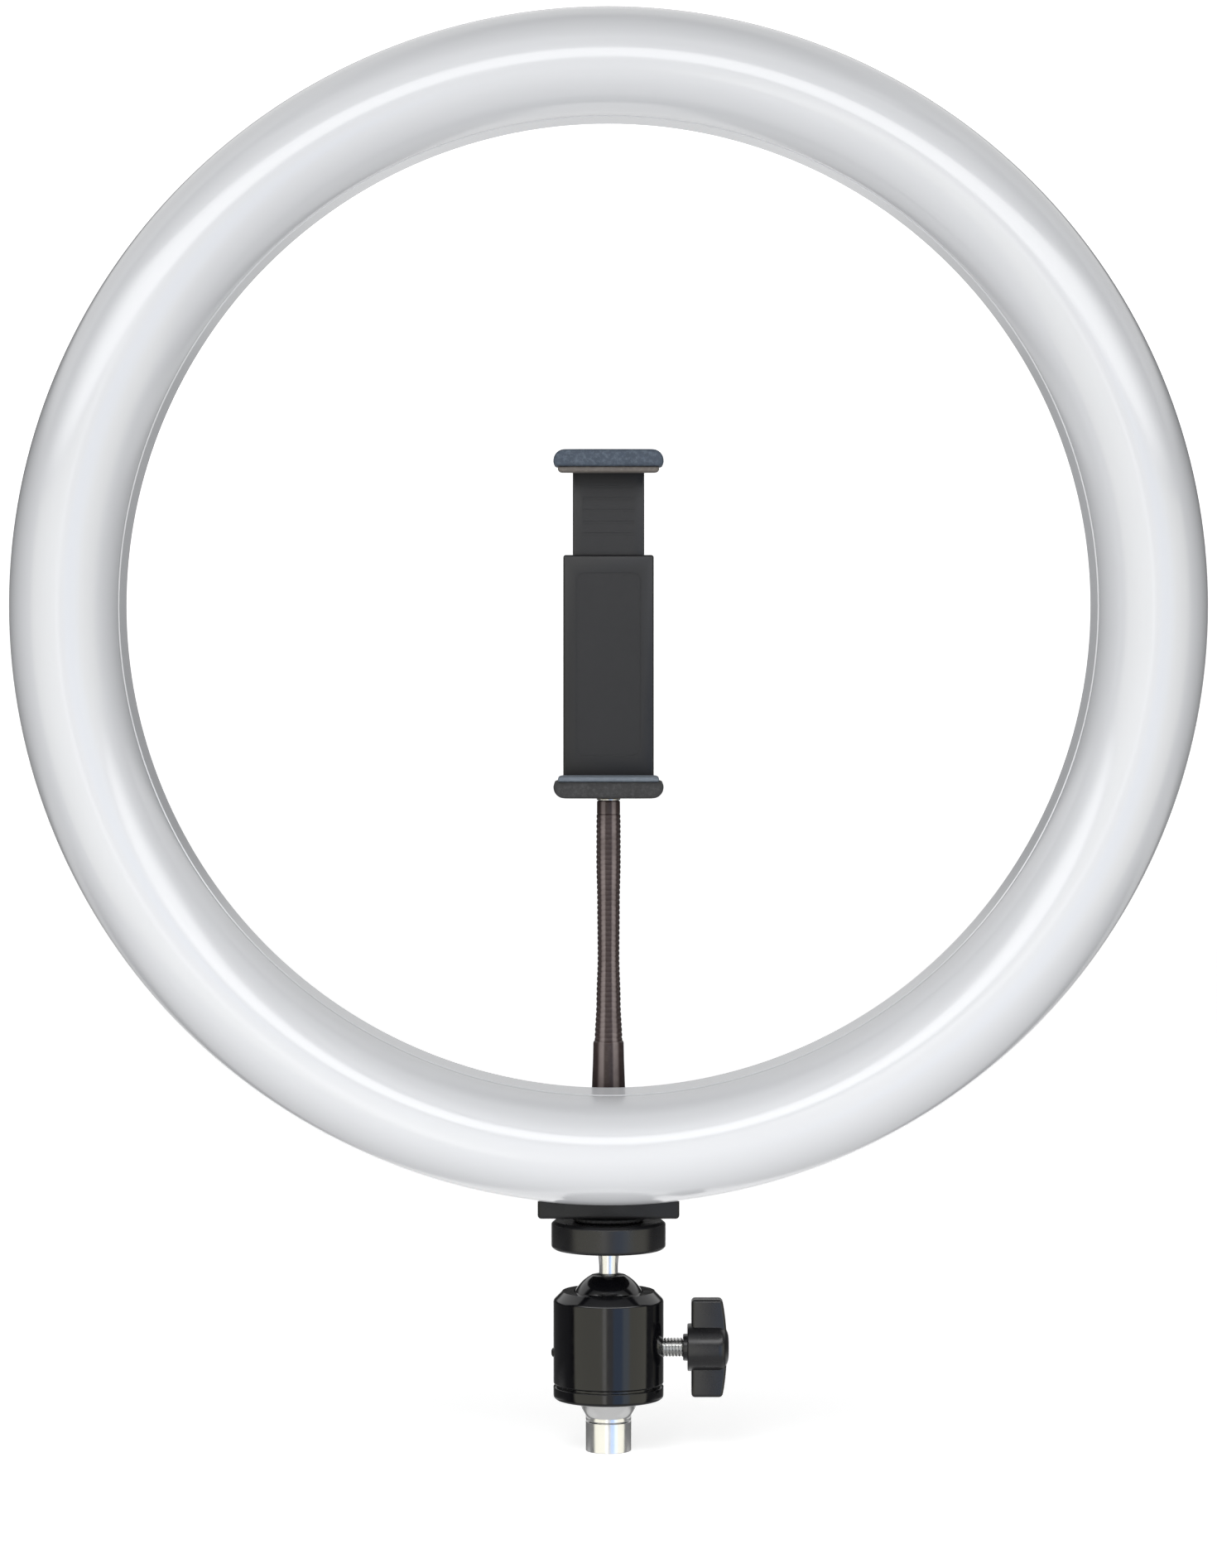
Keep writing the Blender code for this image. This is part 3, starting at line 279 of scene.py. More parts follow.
BLUE_FOAM = finish("blue_grey_foam", (0.044, 0.059, 0.083), 0.82, tint=0.2, tint_size=3, dull=0.1,
                   grain=0.06, grain_size=0.35, pits=0.05, pit_size=0.55, speckle=0.55,
                   speckle_colour=(0.11, 0.14, 0.18))
GREY_FOAM = finish("dark_grey_foam", (0.026, 0.026, 0.027), 0.82, tint=0.2, tint_size=3, dull=0.1,
                   grain=0.06, grain_size=0.35, pits=0.05, pit_size=0.55, speckle=0.5,
                   speckle_colour=(0.06, 0.06, 0.062))
WARM_PAD = finish("warm_grey_pad", (0.115, 0.102, 0.092), 0.8, tint=0.15, tint_size=3, grain=0.05,
                  grain_size=0.3, speckle=0.4, speckle_colour=(0.2, 0.185, 0.17))
PALE_PAD = finish("slate_pad", (0.12, 0.145, 0.175), 0.75, tint=0.15, tint_size=3, grain=0.05,
                  grain_size=0.3, speckle=0.4, speckle_colour=(0.2, 0.23, 0.26))
RUBBER = finish("black_rubber", (0.02, 0.02, 0.021), 0.75, tint=0.2, grain=0.05, grain_size=0.3)
NYLON = finish("white_nylon", (0.70, 0.68, 0.63), 0.42, tint=0.05, grain=0.02, grain_size=0.4,
               glow=0.2)
BOARD = finish("light_board", (0.76, 0.75, 0.68), 0.45, tint=0.06, grain=0.02, grain_size=0.5)
GREEN_BOARD = finish("control_board", (0.03, 0.15, 0.065), 0.4, tint=0.25, tint_size=3, grain=0.02,
                     grain_size=0.6, speckle=0.5, speckle_colour=(0.12, 0.3, 0.12), coat=0.3)
SPRING_STEEL = finish("spring_steel", (0.42, 0.42, 0.43), 0.3, metallic=1.0, tint=0.1, grain=0.006)


# ---------------------------------------------------------------- mesh helpers

def rounded(corners, closed=False, steps=4):
    """Round an outline's corners; a corner's third number is how far its fillet reaches."""
    points, count = [], len(corners)
    for number, corner in enumerate(corners):
        here = Vector(corner[:2])
        reach = corner[2] if len(corner) > 2 else 0
        if not reach or not (closed or 0 < number < count - 1):
            points.append(here)
            continue
        before = Vector(corners[number - 1][:2]) - here
        after = Vector(corners[(number + 1) % count][:2]) - here
        first = here + before.normalized() * min(reach, before.length / 2)
        last = here + after.normalized() * min(reach, after.length / 2)
        for step in range(steps + 1):
            t = step / steps
            points.append(first * (1 - t) ** 2 + here * 2 * t * (1 - t) + last * t * t)
    return points


def arc(centre, radii, start, end, count):
    """Points on an elliptic arc, with angles in degrees from the outward direction."""
    points = []
    for step in range(count + 1):
        angle = math.radians(start + (end - start) * step / count)
        points.append((centre[0] + radii[0] * math.cos(angle),
                       centre[1] + radii[1] * math.sin(angle)))
    return points


def piece(name, bm, look, place=UP, sharp=32.0):
    """Make an object out of a mesh in millimetres, smooth apart from its sharp edges."""
    bmesh.ops.recalc_face_normals(bm, faces=bm.faces)
    bmesh.ops.transform(bm, matrix=Matrix.Scale(MM, 4) @ place, verts=bm.verts)
    mesh = bpy.data.meshes.new(name)
    bm.to_mesh(mesh)
    bm.free()
    mesh.shade_smooth()
    mesh.set_sharp_from_angle(angle=math.radians(sharp))
    if look:
        mesh.materials.append(look)
    obj = bpy.data.objects.new(name, mesh)
    bpy.context.scene.collection.objects.link(obj)
    return obj


def lathe(name, outline, look, steps=STEPS, aim=UP, centre=(0, 0, 0), closed=False, sharp=32.0):
    """Turn an outline of (radius, distance along the axis) about an axis through the centre."""
    bm = bmesh.new()
    start = [bm.verts.new((point[0], 0, point[1])) for point in outline]
    after = start[1:] + start[:1] if closed else start[1:]
    edges = [bm.edges.new(pair) for pair in zip(start, after)]
    bmesh.ops.spin(bm, geom=start + edges, cent=(0, 0, 0), axis=(0, 0, 1), dvec=(0, 0, 0),
                   angle=math.tau, steps=steps)
    bmesh.ops.remove_doubles(bm, verts=bm.verts, dist=0.0005)
    return piece(name, bm, look, Matrix.Translation(centre) @ aim, sharp)


def box_mesh(low, high):
    low, high = Vector(low), Vector(high)
    bm = bmesh.new()
    bmesh.ops.create_cube(bm, size=1.0)
    bmesh.ops.scale(bm, vec=high - low, verts=bm.verts)
    bmesh.ops.translate(bm, vec=(low + high) / 2, verts=bm.verts)
    return bm


def slab(name, low, high, look, edge=0.5, corner=0.0, side=0):
    """A box with soft edges; side picks the end along Z whose corners get a larger radius."""
    bm = box_mesh(low, high)
    if corner:
        middle = (low[2] + high[2]) / 2
        ends = [e for e in bm.edges if abs(e.verts[0].co.y - e.verts[1].co.y) > 0.01
                and (side == 0 or (e.verts[0].co.z - middle) * side > 0)]
        bmesh.ops.bevel(bm, geom=ends, offset=corner, segments=8, profile=0.5, affect="EDGES")
    if edge:
        rims = [e for e in bm.edges if e.calc_face_angle(0) > 0.5]
        bmesh.ops.bevel(bm, geom=rims, offset=edge, segments=4, profile=0.5, affect="EDGES",
                        clamp_overlap=True)
    return piece(name, bm, look, sharp=40.0)


def rod(start, end, radius, steps=32, tip=None):
    """A cutter: a round bar between two points, tapered when it is given a tip radius."""
    start, end = Vector(start), Vector(end)
    along = end - start
    aim = along.to_track_quat("Z", "Y").to_matrix().to_4x4()
    place = Matrix.Translation((start + end) / 2) @ aim
    bm = bmesh.new()
    bmesh.ops.create_cone(bm, cap_ends=True, segments=steps, radius1=radius,
                          radius2=radius if tip is None else tip, depth=along.length, matrix=place)
    return piece("cutter", bm, None)


def settle(obj, sharp=32.0):
    """Apply the piece's modifiers."""
    graph = bpy.context.evaluated_depsgraph_get()
    mesh = bpy.data.meshes.new_from_object(obj.evaluated_get(graph))
    obj.modifiers.clear()
    obj.data = mesh
    mesh.shade_smooth()
    mesh.set_sharp_from_angle(angle=math.radians(sharp))
    return obj


def combine(obj, tools, operation="DIFFERENCE"):
    """Cut tools out of a piece, or join them on, and throw them away."""
    for tool in tools:
        step = obj.modifiers.new("Shape", "BOOLEAN")
        step.operation, step.solver, step.object = operation, "EXACT", tool
    settle(obj)
    for tool in tools:
        bpy.data.objects.remove(tool, do_unlink=True)
    return obj


def soften(obj, width):
    """Round the sharp edges of a finished shape."""
    weld = obj.modifiers.new("Weld", "WELD")
    weld.merge_threshold = 0.002 * MM
    bevel = obj.modifiers.new("Edges", "BEVEL")
    bevel.width, bevel.segments = width * MM, 2
    bevel.limit_method, bevel.angle_limit = "ANGLE", math.radians(40.0)
    bevel.harden_normals = True


def threaded(name, radius, depth, pitch, low, high, look, aim=UP, centre=(0, 0, 0), steps=40):
    """A threaded rod with a groove that climbs one pitch a turn, and tapered ends."""
    bm = bmesh.new()
    rows = []
    count = math.ceil((high - low) / pitch * 8)
    for row in range(count + 1):
        along = low + (high - low) * row / count
        fade = min(1.0, (along - low) / pitch, (high - along) / pitch)
        ring = []
        for step in range(steps):
            phase = (along / pitch - step / steps) % 1.0
            groove = depth * abs(2 * phase - 1) * fade + depth * (1 - fade)
            angle = math.tau * step / steps
            ring.append(bm.verts.new(((radius - groove) * math.cos(angle),
                                      (radius - groove) * math.sin(angle), along)))
        rows.append(ring)
    for lower, upper in zip(rows, rows[1:]):
        for step in range(steps):
            after = (step + 1) % steps
            bm.faces.new((lower[step], lower[after], upper[after], upper[step]))
    bm.faces.new(rows[0])
    bm.faces.new(rows[-1])
    return piece(name, bm, look, Matrix.Translation(centre) @ aim, 50.0)


def merge(obj, *others):
    """Put other pieces' meshes into one piece."""
    bm = bmesh.new()
    for part in (obj, *others):
        bm.from_mesh(part.data)
    bm.to_mesh(obj.data)
    bm.free()
    for other in others:
        bpy.data.objects.remove(other, do_unlink=True)
    return obj


def fit(obj, body, slot, *nodes):
    """The piece rides on its body and stands for its CAD nodes; slot is not used."""
    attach(obj, body)
    if nodes:
        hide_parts(*nodes)
    return obj


def node_box(node):
    """A CAD node's lowest corner, highest corner and middle, in millimetres."""
    low, high = (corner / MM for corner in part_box(node))
    return low, high, (low + high) / 2


# ---------------------------------------------------------------- post and ball head

def post():
    tube = rounded([(TUBE_R, 7.5, 0.15), (TUBE_R, 0, 0.2), (4.9, 0, 0.2), (4.9, 7.5)], closed=True)
    fit(lathe("post_tube_visual", tube, CHROME, closed=True), "post", "chrome", "post_tube")
    outline = rounded([(0, 12.9), (7.7, 12.9, 0.2), (6.95, 10.7, 1.2), (TUBE_R, 9.0, 0.8),
                       (TUBE_R, 7.8, 0.15), (4.6, 7.8), (4.6, 0.0, 0.3), (0, 0.0)])
    adapter = lathe("post_adapter_visual", outline, CHROME)
    stud = threaded("post_stud", STUD_R, STUD_GROOVE, STUD_PITCH, 12.5, 19.2, CHROME)
    fit(merge(adapter, stud), "post", "chrome", "post_adapter")


def base_cap():
    outline = rounded([(0, 20.7), (10.6, 20.7, 0.4), (10.6, 16.9), (13.2, 16.9), (13.2, 16.4),
                       (HOUSING_R, 16.4, 0.25), (HOUSING_R, 13.2, 1.0), (3.5, 13.2, 0.3),
                       (3.5, 19.5), (0, 19.5)])
    fit(lathe("base_cap_visual", outline, GLOSS_BLACK), "head", "black_metal", "base_cap")


def ball_housing():
    lip = arc((0, BALL_Z), (CUP_R, CUP_R), 0, 27, 10)
    outline = rounded([(11.75, 40.4, 0.3), (HOUSING_R, 38.2, 0.5), (HOUSING_R, 17.2, 0.25),
                       (10.9, 17.2), (10.9, 34.0), (CUP_R, 34.0)])
    outline = outline + [Vector(point) for point in lip] + [Vector((9.0, 40.4))]
    housing = lathe("ball_housing_visual", outline, GLOSS_BLACK, closed=True)
    hole = rod((9, 0, SCREW_Z), (18, 0, SCREW_Z), SCREW_HOLE_R)
    rim = rod((13.5, 0, SCREW_Z), (14.2, 0, SCREW_Z), SCREW_HOLE_R, tip=3.5)
    pin_hole = rod((-18, 0, PIN_Z), (-9, 0, PIN_Z), 1.55)
    combine(housing, [hole, rim, pin_hole])
    fit(housing, "head", "black_metal", "ball_housing")


def stop_pin():
    outline = rounded([(0, -9.6), (PIN_R, -9.6, 0.2), (PIN_R, -14.1, 0.3), (0.6, -14.5, 0.2),
                       (0, -14.5)])
    pin = lathe("stop_pin_visual", outline, GLOSS_BLACK, 32, RIGHT, (0, 0, PIN_Z))
    fit(pin, "head", "black_metal", "stop_pin")


def clamp_screw():
    centre = (0, 0, SCREW_Z)
    shaft = threaded("clamp_screw_visual", SCREW_R, 0.42, 0.8, 9.6, 27.0, ZINC, RIGHT, centre)
    cone = rounded([(0, 8.2), (1.0, 8.2, 0.2), (2.1, 9.7, 0.2), (2.1, 10.6), (0, 10.6)])
    tip = lathe("clamp_screw_tip", cone, ZINC, 40, RIGHT, centre)
    fit(merge(shaft, tip), "clamp_screw", "zinc_steel", "clamp_screw")


def knob():
    """A domed hub with two wings whose outer edges bulge a little."""
    hub_outline = rounded([(0, 30.5), (3.4, 30.45, 1.2), (5.6, 29.3, 0.8), (6.0, 28.2, 0.5),
                           (6.0, 20.0, 0.4), (3.4, 20.0, 0.2), (3.4, 18.9, 0.4),
                           (SCREW_HOLE_R, 18.9), (SCREW_HOLE_R, 27.3), (0, 27.3)])
    hub = lathe("knob_visual", hub_outline, SATIN_BLACK, 72, RIGHT, (0, 0, SCREW_Z))
    reach, half_thick = 12.4, 2.6
    outer = [(30.0 - 1.15 * (height / reach) ** 2, height) for height in range(-10, 11, 2)]
    rim = [(21.0, -reach), (28.8, -reach)] + outer + [(28.8, reach), (21.0, reach)]
    bm = bmesh.new()
    face = bm.faces.new([bm.verts.new((x, -half_thick, z)) for x, z in rim])
    grown = bmesh.ops.extrude_face_region(bm, geom=[face])
    moved = [item for item in grown["geom"] if isinstance(item, bmesh.types.BMVert)]
    bmesh.ops.translate(bm, vec=(0, 2 * half_thick, 0), verts=moved)
    bmesh.ops.recalc_face_normals(bm, faces=bm.faces)
    rims = [e for e in bm.edges if e.calc_face_angle(0) > 0.5]
    bmesh.ops.bevel(bm, geom=rims, offset=0.9, segments=5, profile=0.5, affect="EDGES")
    wings = piece("knob_wings", bm, SATIN_BLACK, Matrix.Translation((0, 0, SCREW_Z)), 40.0)
    fit(merge(hub, wings), "knob", "satin_black", "knob")


def ball():
    """The ball with a flat on top for the stem, and a shallow ring cut round the flat."""
    sphere = arc((0, BALL_Z), (BALL_R, BALL_R), 62, -90, 40)
    outline = [(0, 38.0), (2.0, 38.0), (2.0, 44.35), (2.9, 44.35), (2.95, 44.5), (4.3, 44.5)]
    outline += sphere[:-1] + [(0, BALL_Z - BALL_R)]
    fit(lathe("ball_visual", outline, GLOSS_BLACK), "ball", "black_metal", "ball")
    outline = rounded([(0, 51.0), (2.75, 50.8, 0.15), (2.75, 50.6, 0.3), (2.35, 47.0, 1.5),
                       (2.4, 44.8, 0.2), (1.7, 44.8), (1.7, 38.4, 0.2), (0, 38.4)])
    stem = lathe("ball_stem_visual", outline, CHROME, steps=64)
    stud = threaded("ball_stud", STUD_R, STUD_GROOVE, STUD_PITCH, 50.8, 66.0, CHROME)
    fit(merge(stem, stud), "ball", "chrome", "ball_stem")


def lock_wheel():
    """The round nut, with a chamfer above and below."""
    outline = rounded([(13.6, 58.3, 0.15), (14.5, 57.6, 0.3), (14.5, 51.8, 0.3), (13.9, 51.2, 0.2),
                       (9.5, 51.2, 0.2), (9.0, 51.6, 0.2), (4.6, 51.6, 0.2), (3.5, 51.4, 0.1),
                       (3.5, 58.3, 0.1), (8.6, 58.3, 0.2), (9.0, 58.15, 0.1)], closed=True)
    wheel = lathe("lock_wheel_visual", outline, SATIN_BLACK, closed=True)
    fit(wheel, "lock_wheel", "satin_black", "lock_wheel")


def lock_pad():
    """The rubber washer, toothed round its edge and top."""
    teeth, toothed_from, tooth_depth = 40, 8.5, 0.03
    outline = rounded([(9.2, 59.25, 0.08), (9.2, 58.62, 0.08), (3.65, 58.62), (3.65, 59.25)],
                      closed=True, steps=2)
    pad = lathe("lock_pad_visual", outline, RUBBER, closed=True, steps=teeth * 4)
    for vertex in pad.data.vertices:
        radius = math.hypot(vertex.co.x, vertex.co.y) / MM
        if radius > toothed_from:
            wave = math.cos(teeth * math.atan2(vertex.co.y, vertex.co.x))
            vertex.co.xy *= 1 + tooth_depth * (wave - 1) / 2
    fit(pad, "lock_pad", "black_rubber", "lock_pad")


# ---------------------------------------------------------------- ring head

RING_PLACE = (0, 0, RING_Z)
DOME = (136.0, 14.0)
DOME_RADII, DOME_INNER_RADII = (14.0, 17.8), (12.0, 15.8)
CREASE_ANGLE = 166.3
BUTTONS = ("button_power", "button_colour", "button_brighter", "button_dimmer")
CONTROL_TURN = Matrix.Rotation(math.radians(60), 4, "Y")


def diffuser():
    """The milky shell: a domed front, a fine crease, and a short wall round the window."""
    outline = [(148.0, 10.8), (149.8, 10.8), (150.0, 11.0)]
    outline += arc(DOME, DOME_RADII, 0, CREASE_ANGLE, 72)
    outline += [(122.45, 17.95), (122.6, 17.75), (122.35, 17.6), (122.15, 17.45), (121.0, 11.1),
                (121.1, 10.8), (122.9, 10.8)]
    outline += arc(DOME, DOME_INNER_RADII, 180, 0, 24)
    shell = lathe("diffuser_visual", outline, MILKY, RING_STEPS, FRONT, RING_PLACE, closed=True,
                  sharp=24)
    fit(shell, "ring_head", "milky_plastic", "diffuser")


def back_cover():
    """The rear tray, with sunk screw holes, a stepped panel line and openings for the controls."""
    rear, line = COVER_REAR, COVER_REAR + 0.5
    outline = rounded([(149.2, 10.5, 0.3), (149.2, rear, 2.2), (147.2, rear), (142.2, rear, 0.3),
                       (141.8, line, 0.2), (141.0, line, 0.2), (140.6, rear, 0.3),
                       (126.2, rear, 0.3), (125.8, line, 0.2), (125.0, line, 0.2),
                       (124.6, rear, 0.3), (121.9, rear, 2.2), (121.9, 10.5, 0.3), (123.9, 10.5),
                       (123.9, 12.5, 0.3), (125.1, 12.5, 0.3), (125.1, 7.8), (147.2, 7.8),
                       (147.2, 10.5)], closed=True)
    tray = lathe("back_cover_visual", outline, BLACK_PLASTIC, RING_STEPS, FRONT, RING_PLACE,
                 closed=True)
    tools = []
    for number in range(1, 7):
        middle = node_box("case_screw_%d" % number)[2]
        hole = Vector((middle.x, 0, middle.z))
        tools.append(rod(hole + Vector((0, -8.3, 0)), hole, 3.0))
        tools.append(rod(hole + Vector((0, -5.5, 0)), hole + Vector((0, -6.3, 0)), 3.5, tip=3.0))
    for name in BUTTONS:
        middle = node_box(name)[2]
        hole = Vector((middle.x, 0, middle.z))
        tools.append(rod(hole + Vector((0, -12, 0)), hole, 3.5))
    middle = node_box("power_socket")[2]
    opening = box_mesh((-4.9, -9.5, -2.1), (4.9, 0.5, 2.1))
    along = [e for e in opening.edges if abs(e.verts[0].co.y - e.verts[1].co.y) > 1]
    bmesh.ops.bevel(opening, geom=along, offset=1.9, segments=6, profile=0.5, affect="EDGES")
    place = Matrix.Translation((middle.x, 0, middle.z)) @ CONTROL_TURN
    tools.append(piece("cutter", opening, None, place))
    combine(tray, tools)
    fit(tray, "ring_head", "matte_black", "back_cover")


def button_mark(name):
    """A raised mark for a button: a bar, a cross of two bars, a dot or a ring."""
    if name in ("button_dimmer", "button_brighter"):
        marks = [slab("mark", (-1.5, 0, -0.22), (1.5, 0.22, 0.22), None, edge=0.08)]
        if name == "button_brighter":
            marks.append(slab("mark", (-0.22, 0, -1.5), (0.22, 0.22, 1.5), None, edge=0.08))
        return marks
    if name == "button_power":
        return [lathe("mark", rounded([(0, 0.25), (0.7, 0.25, 0.1), (0.7, 0, 0)]), None, 24, REAR)]
    outline = rounded([(1.5, 0), (1.5, 0.22, 0.08), (1.05, 0.22, 0.08), (1.05, 0)])
    return [lathe("mark", outline, None, 32, REAR)]


def buttons():
    """Four push buttons with a slightly sunk face, each with its own raised mark."""
    for name in BUTTONS:
        middle = node_box(name)[2]
        outline = rounded([(0, 4.65), (2.3, 4.6, 0.3), (2.6, 4.4, 0.3), (3.2, 4.5, 0.35),
                           (3.2, 8.1), (4.0, 8.1, 0.1), (4.0, 8.9, 0.1), (0, 8.9)])
        button = lathe(name + "_visual", outline, SATIN_BLACK, 48, FRONT, (middle.x, 0, middle.z))
        marks = button_mark(name)
        place = Matrix.Translation(Vector((middle.x, -4.65, middle.z)) * MM) @ CONTROL_TURN
        for mark in marks:
            mark.data.transform(place)
        merge(button, *marks)
        fit(button, name, "satin_black", name)


def cross_screw(node, shaft_r, head_r, head_low, head_high, tip, body):
    """A pan-head screw with a cross recess, its head at the rear."""
    middle = node_box(node)[2]
    outline = rounded([(0, tip), (shaft_r * 0.6, tip, 0.1), (shaft_r, tip - 1.0, 0.2),
                       (shaft_r, head_low), (head_r, head_low, 0.15),
                       (head_r, head_high + 0.7, 0.6), (head_r * 0.55, head_high, 0.8),
                       (0, head_high)])
    screw = lathe(node + "_visual", outline, ZINC, 40, FRONT, (middle.x, 0, middle.z))
    depth, half, reach = 1.1, head_r * 0.13, head_r * 0.62
    tools = []
    for turn in (20, 110):
        bm = box_mesh((-reach, -head_high - depth, -half), (reach, -head_high + 0.6, half))
        for vertex in bm.verts:
            if vertex.co.y < -head_high - depth / 2:
                vertex.co.x *= 0.35
        spin = Matrix.Rotation(math.radians(turn), 4, "Y")
        place = Matrix.Translation((middle.x, 0, middle.z)) @ spin
        tools.append(piece("cutter", bm, None, place))
    combine(screw, tools)
    fit(screw, body, "zinc_steel", node)


def screws():
    for number in range(1, 7):
        cross_screw("case_screw_%d" % number, 1.5, 2.7, 8.0, 6.2, 17.5, "ring_head")
    for side in ("left", "right"):
        cross_screw("bracket_screw_" + side, 1.5, 3.0, -6.7, -8.9, 11.2, "ring_head")
    for number in (1, 2):
        cross_screw("clamp_cover_screw_%d" % number, 1.0, 1.8, -9.7, -10.6, -3.6, "clamp")


def mount_bracket():
    """The moulded foot under the ring and its upright, with two sunk screw holes."""
    foot = slab("mount_bracket_visual", (-BRACKET_HALF, -8.0, 59.6),
                (BRACKET_HALF, BRACKET_REAR, 66.5), BLACK_PLASTIC, edge=0.9)
    inset = 0.02
    upright = slab("upright", (-BRACKET_HALF + inset, -5.6, 61.0),
                   (BRACKET_HALF - inset, BRACKET_REAR - inset, 87.0), None, edge=0.6, corner=3.0,
                   side=1)
    combine(foot, [upright], "UNION")
    room = rod((0, -25, RING_Z), (0, -5.4, RING_Z), 150.15, steps=RING_STEPS)
    combine(foot, [room])
    tools = [rod((0, 0, 55), (0, 0, 67.2), 4.9), rod((0, 0, 76), (0, 0, 90), 3.3)]
    z = BRACKET_SCREW_Z
    for x in (-BRACKET_SCREW_X, BRACKET_SCREW_X):
        tools += [rod((x, 12, z), (x, -9, z), 1.8), rod((x, 12, z), (x, 6.4, z), 3.3),
                  rod((x, 9.7, z), (x, 9.0, z), 3.8, tip=3.3)]
    combine(foot, tools)
    fit(foot, "ring_head", "matte_black", "mount_bracket")


# ---------------------------------------------------------------- bendable arm

FIRST_PIVOT, PIVOT_PITCH, PIVOTS = 108.0, 9.0, 6
RIB, RIB_DEPTH = PIVOT_PITCH / 7.0, 0.16
JOINS = [103.8] + [112.5 + PIVOT_PITCH * number for number in range(5)] + [161.25]
STATIONS = ((104.0, 3.5), (114.0, 3.08), (125.0, 2.78), (138.0, 2.88), (150.0, 3.1), (158.0, 3.08),
            (165.0, 2.95))


def neck_radius(height):
    """The arm narrows from the collar to a waist and widens a little again above it."""
    for (low, low_r), (high, high_r) in zip(STATIONS, STATIONS[1:]):
        if height <= high:
            share = max(0.0, (height - low) / (high - low))
            return low_r + (high_r - low_r) * (3 - 2 * share) * share * share
    return STATIONS[-1][1]


def ribbed(height):
    """The cover's surface, which dips where two turns of the coil under it meet."""
    wave = abs(math.cos(math.pi * (height - JOINS[1]) / RIB))
    return neck_radius(height) - RIB_DEPTH * wave ** 6


def neck_sleeve(number):
    """One sleeve of the cover, over the pivot between two bodies."""
    low, high = JOINS[number], JOINS[number + 1]
    count = math.ceil((high - low) / RIB * 10)
    heights = [low + (high - low) * step / count for step in range(count + 1)]
    outline = [(1.5, low)] + [(ribbed(height), height) for height in heights] + [(1.5, high)]
    sleeve = lathe("neck_cover_%d" % (number + 1), outline, NECK_RUBBER, 48, closed=True, sharp=60)
    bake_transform(sleeve)
    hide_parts("neck_segment_%d" % (number + 1))


def neck():
    """The collar, six sleeves of cover, and the ferrule and washer under the clamp."""
    outline = rounded([(0, 103.85), (3.6, 103.85, 0.1), (3.85, 103.5, 0.25), (3.95, 99.0, 1.0),
                       (4.25, 91.0, 1.0), (4.45, 87.35, 0.2), (3.0, 87.3), (3.0, 77.0, 0.3),
                       (0, 77.0)])
    fit(lathe("neck_collar_visual", outline, NECK_RUBBER, 64), "ring_head", "neck_cover",
        "neck_collar", "neck_segment_0")
    for number in range(PIVOTS):
        neck_sleeve(number)
    outline = rounded([(0, 161.2), (2.5, 161.2), (2.95, 161.35, 0.15), (2.93, 164.5, 0.2),
                       (2.6, 164.8, 0.1), (2.4, 164.85), (2.4, 169.0, 0.2), (0, 169.0)])
    tip = lathe("neck_tip", outline, NECK_RUBBER, 48)
    fit(tip, "neck_6", "neck_cover", "neck_top_fitting")
    outline = rounded([(3.0, 165.25, 0.12), (3.0, 164.85, 0.12), (2.45, 164.85), (2.45, 165.25)],
                      closed=True)
    washer = lathe("neck_washer", outline, ZINC, 48, closed=True)
    fit(washer, "neck_6", "zinc_steel", "neck_top_fitting")


# ---------------------------------------------------------------- phone clamp

def crowned(obj, low, high, swell):
    """Swell a block's faces a little between its edges, as a soft moulding does."""
    middle, half = (Vector(low) + Vector(high)) / 2, (Vector(high) - Vector(low)) / 2
    for vertex in obj.data.vertices:
        local = Vector([(vertex.co[i] / MM - middle[i]) / half[i] for i in range(3)])
        for axis in (1, 2):
            others = [i for i in range(3) if i != axis]
            flat = math.prod(max(0.0, 1 - local[i] ** 4) for i in others)
            vertex.co[axis] += swell * MM * flat * math.copysign(abs(local[axis]) ** 3, local[axis])
    return obj


def soft_block(name, low, high, look, edge, corner, side, swell):
    """A rubber-covered block: rounded, crowned, and very slightly uneven."""
    block = slab(name, low, high, look, edge, corner, side)
    remesh = block.modifiers.new("Even", "REMESH")
    remesh.mode, remesh.voxel_size = "VOXEL", 0.35 * MM
    smooth = block.modifiers.new("Smooth", "SMOOTH")
    smooth.factor, smooth.iterations = 0.5, 6
    settle(block, 180)
    return crowned(block, low, high, swell)


def jaw_block(name, low_z, high_z, look, side):
    """The rubber-covered block of a jaw; side is the way its rounded corners face."""
    return soft_block(name, (-JAW_HALF, JAW_FRONT, low_z), (JAW_HALF, JAW_REAR, high_z), look,
                      edge=0.8, corner=2.8, side=side, swell=0.12)


def jaw_pad(name, low_z, high_z, look, side):
    """The soft pad on the face of a jaw."""
    return soft_block(name, (-PAD_HALF, PAD_FRONT, low_z), (PAD_HALF, PAD_REAR, high_z), look,
                      edge=0.35, corner=1.0, side=side, swell=0.06)


def groove_cutters(half, front, rear, heights, tall):
    """Cutters for a stack of level grooves."""
    return [slab("cutter", (-half, front, z), (half, rear, z + tall), None, edge=0)
            for z in heights]


def cover_screw_holes(front):
    """Cutters for the holes of the clamp cover's two screws."""
    z = COVER_SCREW_Z
    return [rod((x, front, z), (x, 12, z), 1.3) for x in (-COVER_SCREW_X, COVER_SCREW_X)]


